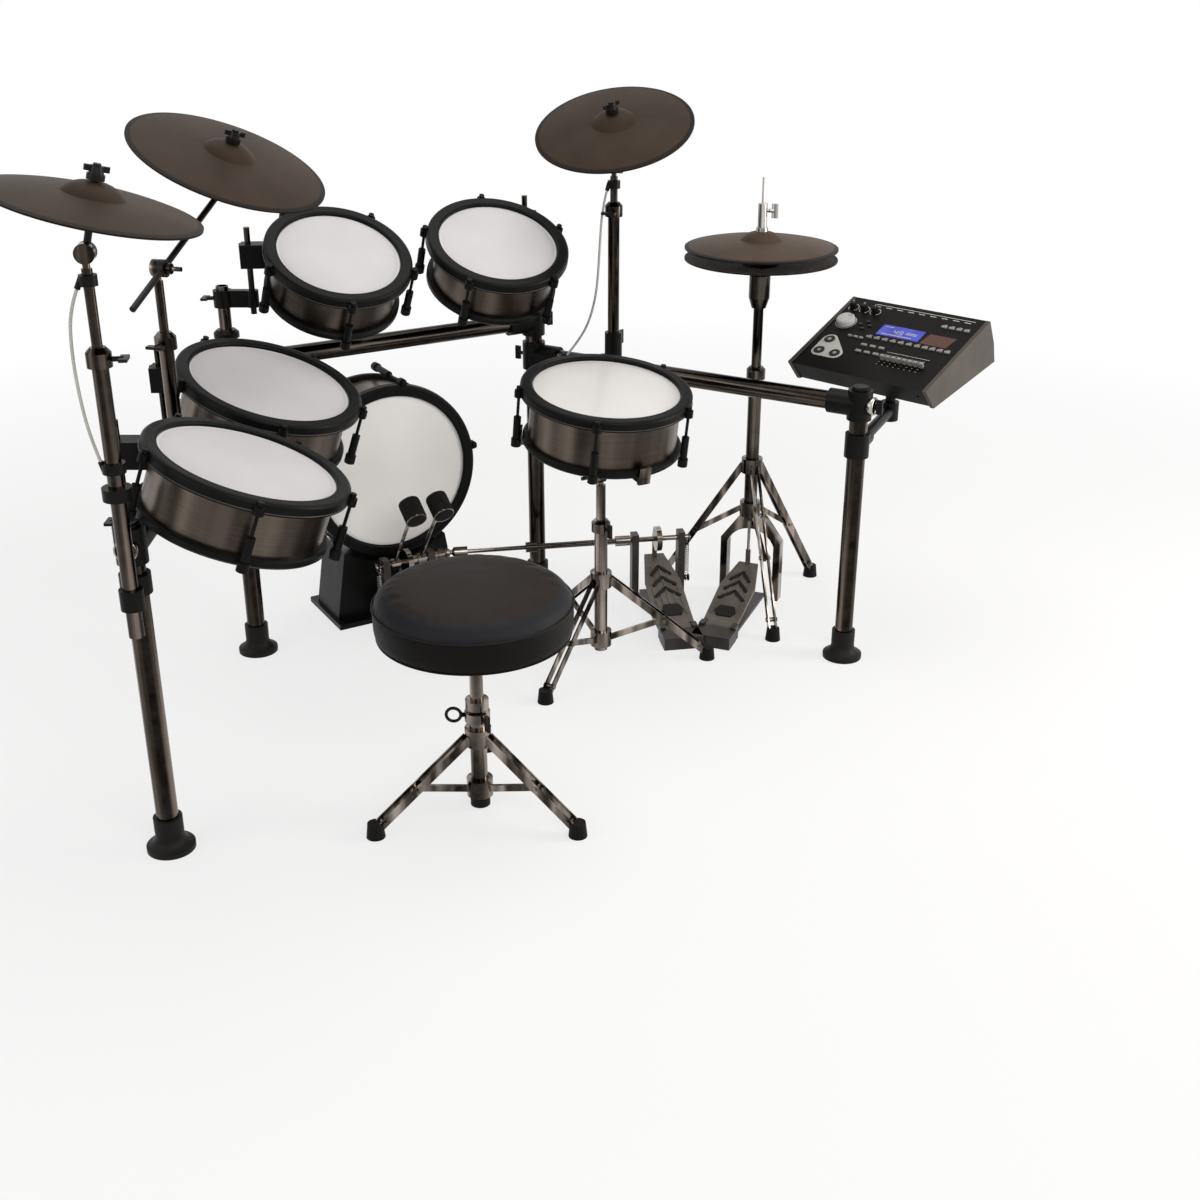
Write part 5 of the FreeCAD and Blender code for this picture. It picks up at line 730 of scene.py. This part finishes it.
def screenFinish():
    material, tree, shader = newMaterial("screenBlue")
    local = placed(tree, moduleSetup["place"], moduleTurn)
    cells = put(tree, "TexChecker", {"Vector": local, "Scale": screenSetup["cellScale"],
                                     "Color1": tint(screenSetup["cells"][0]),
                                     "Color2": tint(screenSetup["cells"][1])}).outputs["Color"]
    glow = put(tree, "TexNoise", {"Vector": local, "Scale": 22.0, "Detail": 1.0}).outputs[0]
    lit = blendColour(tree, remap(tree, glow, 0.35, 0.65, 0.0, 0.5), cells, tint(screenSetup["glow"]))
    wire(tree, lit, shader.inputs["Base Color"])
    wire(tree, lit, shader.inputs["Emission Color"])
    shader.inputs["Emission Strength"].default_value = screenSetup["strength"]
    shader.inputs["Roughness"].default_value = 0.18
    return material


dialPale = mouldedFinish("dialPale", (0.52, 0.515, 0.50), (0.60, 0.595, 0.58), rough=0.36, grain=900.0,
                         patch=40.0, bump=0.08)
knobBlack = mouldedFinish("knobBlack", (0.0060, 0.0056, 0.0053), (0.0110, 0.0102, 0.0096), rough=0.36,
                          grain=1200.0, patch=60.0, sheen=0.12)
keyPale = mouldedFinish("keyPale", (0.21, 0.20, 0.19), (0.30, 0.285, 0.27), rough=0.45, grain=1200.0,
                        patch=60.0, bump=0.10)
dress("module_case", caseFinish())
dress("module_screen", screenFinish())
dress("module_dial", dialPale)
for number in (1, 2, 3):
    dress(f"module_knob_{number}", knobBlack)
padPlaces = [(-0.131, -0.030), (-0.131, -0.072), (-0.091, -0.072)]
keySetup = dict(pale=[(0.24, 0.23, 0.215), (0.33, 0.315, 0.295)],
                spots=[((-0.084, 0.040), 0.020, (0.020, 0.019, 0.018))]  # centre, reach and shade
                + [(pad, 0.0135, (0.016, 0.014, 0.013)) for pad in padPlaces]
                + [(pad, 0.0042, (0.42, 0.41, 0.39)) for pad in padPlaces])


def keyFinish():  # pale keys, dark pads with a pale eye, dark cursor wedges
    material, tree, shader = newMaterial("moduleKeys")
    local = placed(tree, moduleSetup["place"], moduleTurn)
    skin = useGroup(tree, fineGrain, Vector=local, **{"Grain Size": 1200.0, "Patch Size": 60.0})
    colour = blendColour(tree, skin["Patch"], *(tint(shade) for shade in keySetup["pale"]))
    for centre, reach, shade in keySetup["spots"]:
        away = put(tree, "VectorMath", {0: local, 1: (*centre, 0.0)}, operation="SUBTRACT").outputs[0]
        inside = maths(tree, "LESS_THAN", radial(tree, away), reach)
        colour = blendColour(tree, inside, colour, tint(shade))
    wire(tree, colour, shader.inputs["Base Color"])
    wire(tree, remap(tree, skin["Patch"], 0.0, 1.0, 0.40, 0.52), shader.inputs["Roughness"])
    shader.inputs["Specular IOR Level"].default_value = 0.2
    raised(tree, shader, skin["Height"], 0.1, 0.0003)
    return material


dress("module_buttons", keyFinish())
dress("module_faders", keyPale)


def thickened(bm, height):  # flat marks get a little body above the panel
    sheet = bmesh.ops.extrude_face_region(bm, geom=bm.faces[:])
    bmesh.ops.translate(bm, verts=[part for part in sheet["geom"] if isinstance(part, bmesh.types.BMVert)],
                        vec=(0, 0, height))
    bmesh.ops.recalc_face_normals(bm, faces=bm.faces)


def bar(bm, x, y, wide, deep, z=0.0):
    made = bmesh.ops.create_grid(bm, x_segments=1, y_segments=1, size=0.5)
    bmesh.ops.scale(bm, verts=made["verts"], vec=(wide, deep, 1))
    bmesh.ops.translate(bm, verts=made["verts"], vec=(x, y, z))


def arcBand(bm, x, y, inner, outer, start, sweep, steps=20, z=0.0):
    first = [bm.verts.new((x + reach * math.cos(start), y + reach * math.sin(start), z))
             for reach in (inner, outer)]
    edge = bm.edges.new(first)
    bmesh.ops.spin(bm, geom=first + [edge], cent=(x, y, z), axis=up, angle=sweep, steps=steps,
                   use_merge=sweep == math.tau)


panelSetup = dict(tall=0.0004, sink=0.0001)  # how far marks stand up and reach into the panel


def onPanel(bm, name, material, body):
    bmesh.ops.remove_doubles(bm, verts=bm.verts, dist=1e-6)
    thickened(bm, panelSetup["tall"])
    moved(bm, moduleFrame @ Matrix.Translation((0, 0, -panelSetup["sink"])))
    return finished(bm, name, material, body, smooth=False)


mm = 0.001  # knob places, marks and pointers are given in millimetres
markPale = mouldedFinish("markPale", (0.47, 0.455, 0.43), (0.56, 0.545, 0.52), rough=0.5, grain=1500.0,
                         patch=80.0, bump=0.04)
plateCream = mouldedFinish("plateCream", (0.56, 0.545, 0.51), (0.64, 0.625, 0.59), rough=0.42, grain=1300.0,
                           patch=50.0, bump=0.06)
knobPlaces = [(-148, 94), (-119, 93), (-90, 92)]
dialSetup = dict(place=(-0.133, 0.039), ring=(0.0228, 0.0240), topRing=(0.0172, 0.0180), steps=40,
                 dip=(-0.1265, 0.0505), dipRing=(0.0030, 0.0048), dipSteps=24)
markSetup = dict(knobArc=(11.2, 12.6), knobFrom=-60, knobSweep=300,
                 faders=[24 + 13.5 * step for step in range(8)], tick=(-4.4, 3.0, 0.8),
                 tickY=(-78, -69, -60, -51, -42),
                 # x, y, width and depth
                 lines=[(70, -33, 104, 1.0), (20, 120, 246, 1.6)],
                 # first x, step, count, y, width and depth
                 rows=[(-96, 28, 9, 113, 15, 2.2), (-51, 20, 7, 11, 8, 1.2),
                       (88, 18, 4, 92, 8, 1.2), (88, 18, 4, 11, 8, 1.2)])
bm = bmesh.new()
for x, y in knobPlaces:
    arcBand(bm, x * mm, y * mm, *(reach * mm for reach in markSetup["knobArc"]),
            math.radians(markSetup["knobFrom"]), math.radians(markSetup["knobSweep"]))
arcBand(bm, *dialSetup["place"], *dialSetup["ring"], 0.0, math.tau, dialSetup["steps"])
aside, tickWide, tickDeep = markSetup["tick"]
for x in markSetup["faders"]:
    for y in markSetup["tickY"]:
        bar(bm, (x + aside) * mm, y * mm, tickWide * mm, tickDeep * mm)
for x, y, wide, deep in markSetup["lines"]:
    bar(bm, x * mm, y * mm, wide * mm, deep * mm)
for first, step, count, y, wide, deep in markSetup["rows"]:
    for place in range(count):
        bar(bm, (first + step * place) * mm, y * mm, wide * mm, deep * mm)
onPanel(bm, "panelMarks", markPale, "module")


def panelTop(nodeName):  # highest point of a node above the panel
    inward = moduleFrame.inverted()
    return max((inward @ corner.co).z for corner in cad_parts[nodeName].data.vertices)


plateSetup = dict(padReach=0.0178, zone=[(0.066, 0.016), (0.130, 0.016), (0.137, 0.053), (0.073, 0.053)])
bm = bmesh.new()
flatFace(bm, roundedHull(padPlaces, plateSetup["padReach"]))
onPanel(bm, "padPlate", plateCream, "module")
zoneRed = mouldedFinish("zoneRed", (0.070, 0.026, 0.017), (0.098, 0.040, 0.026), rough=0.40, grain=1300.0,
                        patch=50.0, bump=0.06, sheen=0.2)
bm = bmesh.new()
flatFace(bm, plateSetup["zone"])
onPanel(bm, "zonePlate", zoneRed, "module")
screenTop = panelTop("module_screen")
digitSetup = dict(left=-0.004, step=0.013, low=0.030, tall=0.0125, wide=0.0080, stroke=0.0016,
                  lines=[(0.004, 0.0245, 0.074, 0.0022), (-0.026, 0.0500, 0.022, 0.0018),
                         (0.034, 0.0360, 0.026, 0.0018), (0.034, 0.0405, 0.026, 0.0018)])
digitBars = {"top": (0, 1, True), "middle": (0, 0.5, True), "bottom": (0, 0, True),
             "upperLeft": (-0.5, 0.75, False), "upperRight": (0.5, 0.75, False),
             "lowerLeft": (-0.5, 0.25, False), "lowerRight": (0.5, 0.25, False)}
bm = bmesh.new()
for place, unlit in enumerate((("top", "bottom", "lowerLeft"), ("lowerLeft",))):
    for label, (x, y, level) in digitBars.items():
        if label not in unlit:
            bar(bm, digitSetup["left"] + place * digitSetup["step"] + x * digitSetup["wide"],
                digitSetup["low"] + y * digitSetup["tall"],
                digitSetup["wide"] if level else digitSetup["stroke"],
                digitSetup["stroke"] if level else digitSetup["tall"] / 2, screenTop)
for line in digitSetup["lines"]:
    bar(bm, *line, screenTop)
onPanel(bm, "screenFigures", markPale, "module")
pointerSetup = dict(out=4.6, wide=1.5, long=6.0, rounding=0.6)
for number, (x, y) in enumerate(knobPlaces, 1):
    bm = bmesh.new()
    bar(bm, x * mm, (y + pointerSetup["out"]) * mm, pointerSetup["wide"] * mm, pointerSetup["long"] * mm,
        panelTop(f"module_knob_{number}"))
    bmesh.ops.bevel(bm, geom=bm.verts[:], offset=pointerSetup["rounding"] * mm, affect="VERTICES",
                    segments=3, profile=0.5, material=-1)
    onPanel(bm, f"knobPointer{number}", markPale, f"knob_{number}")
bm = bmesh.new()
dialTop = panelTop("module_dial")
arcBand(bm, *dialSetup["dip"], *dialSetup["dipRing"], 0.0, math.tau, dialSetup["dipSteps"], dialTop)
arcBand(bm, *dialSetup["place"], *dialSetup["topRing"], 0.0, math.tau, dialSetup["steps"], dialTop)
onPanel(bm, "dialRings", keyPale, "dial")

# sockets along the module's back
socketSetup = dict(rows=[(-0.030, 0.1312), (-0.062, 0.1299)], first=-0.130, step=0.026, count=11, steps=24,
                   outline=[(0.0031, -0.0020), (0.0031, 0.0014), (0.0050, 0.0022), (0.0062, 0.0016),
                            (0.0066, -0.0020)])
bm = bmesh.new()
for height, depth in socketSetup["rows"]:
    for place in range(socketSetup["count"]):
        ring = bmesh.new()
        turned(ring, socketSetup["outline"], socketSetup["steps"], close=True)
        across = socketSetup["first"] + place * socketSetup["step"]
        moved(ring, moduleFrame @ Matrix.Translation((across, depth, height)) @ quarterTurn.inverted())
        joined(bm, ring)
finished(bm, "rearSockets", rodChrome, "module")
print("module marked")

# plain pale floor and soft studio light
stageSetup = dict(floor=0.84, lift=0.70, near=1.3, far=3.2, world=0.30, size=60, drop=0.0005)
lamps = {
    "keyLight": dict(place=(2.5, -1.7, 1.25), aim=(0, 0, 1.0), wide=0.9, tall=2.4, power=62.0,
                     colour=(1.0, 0.965, 0.92)),
    "frontLight": dict(place=(-0.4, -3.6, 2.6), aim=(0, 0, 0.6), wide=2.2, tall=1.4, power=52.0,
                       colour=(1.0, 0.985, 0.96)),
    "fillLight": dict(place=(-3.2, -0.6, 1.9), aim=(0, 0, 0.6), wide=2.0, tall=1.6, power=18.0,
                      colour=(0.95, 0.975, 1.0)),
    "topLight": dict(place=(0.2, 0.4, 3.4), aim=(0, 0, 0.5), wide=3.0, tall=2.4, power=46.0,
                     colour=(1.0, 0.985, 0.96)),
}


def shownRays(tree):  # rays for which floor and surround are plain white
    path = put(tree, "LightPath").outputs
    return maths(tree, "MAXIMUM", path["Is Camera Ray"],
                 maths(tree, "MAXIMUM", path["Is Glossy Ray"], path["Is Transmission Ray"]))


def stageFloor():
    bm = bmesh.new()
    bmesh.ops.create_grid(bm, x_segments=4, y_segments=4, size=stageSetup["size"])
    mesh = bpy.data.meshes.new("studioFloor")
    bm.to_mesh(mesh)
    bm.free()
    floor = bpy.data.objects.new("studioFloor", mesh)
    floor.location.z = -stageSetup["drop"]
    material = bpy.data.materials.new("studioFloor")
    material.use_nodes = True
    tree = material.node_tree
    tree.nodes.clear()
    paper = put(tree, "TexNoise", {"Vector": placed(tree), "Scale": 3.0, "Detail": 2.0}).outputs[0]
    shade = remap(tree, paper, 0.0, 1.0, stageSetup["floor"], stageSetup["floor"] + 0.02)
    lit = put(tree, "BsdfDiffuse", {"Color": shade})
    glow = put(tree, "Emission", {"Color": tint((1, 1, 1)), "Strength": 1.0})
    away = remap(tree, radial(tree, placed(tree)), stageSetup["near"], stageSetup["far"],
                 stageSetup["lift"], 1.0)
    whitened = maths(tree, "MULTIPLY", shownRays(tree), away)
    mix = put(tree, "MixShader", {0: whitened, 1: lit.outputs[0], 2: glow.outputs[0]})
    tree.links.new(mix.outputs[0], put(tree, "OutputMaterial").inputs["Surface"])
    mesh.materials.append(material)
    scene.collection.objects.link(floor)


def studioLamp(name, place, aim, wide, tall, power, colour):
    data = bpy.data.lights.new(name, "AREA")
    data.shape = "RECTANGLE"
    data.size, data.size_y = wide, tall
    data.energy = power
    data.color = colour
    lamp = bpy.data.objects.new(name, data)
    lamp.location = place
    lamp.rotation_euler = (Vector(aim) - Vector(place)).to_track_quat("-Z", "Y").to_euler()
    scene.collection.objects.link(lamp)


stageFloor()
for name, lamp in lamps.items():
    studioLamp(name, **lamp)
world = bpy.data.worlds.new("studioWorld")
scene.world = world
world.use_nodes = True
sky = world.node_tree
sky.nodes.clear()
skyLight = put(sky, "Background", {"Color": tint((1.0, 0.985, 0.965)), "Strength": stageSetup["world"]})
skySeen = put(sky, "Background", {"Color": tint((1, 1, 1)), "Strength": 1.0})
skyMix = put(sky, "MixShader", {0: shownRays(sky), 1: skyLight.outputs[0], 2: skySeen.outputs[0]})
sky.links.new(skyMix.outputs[0], put(sky, "OutputWorld").inputs["Surface"])
print("stage lit")
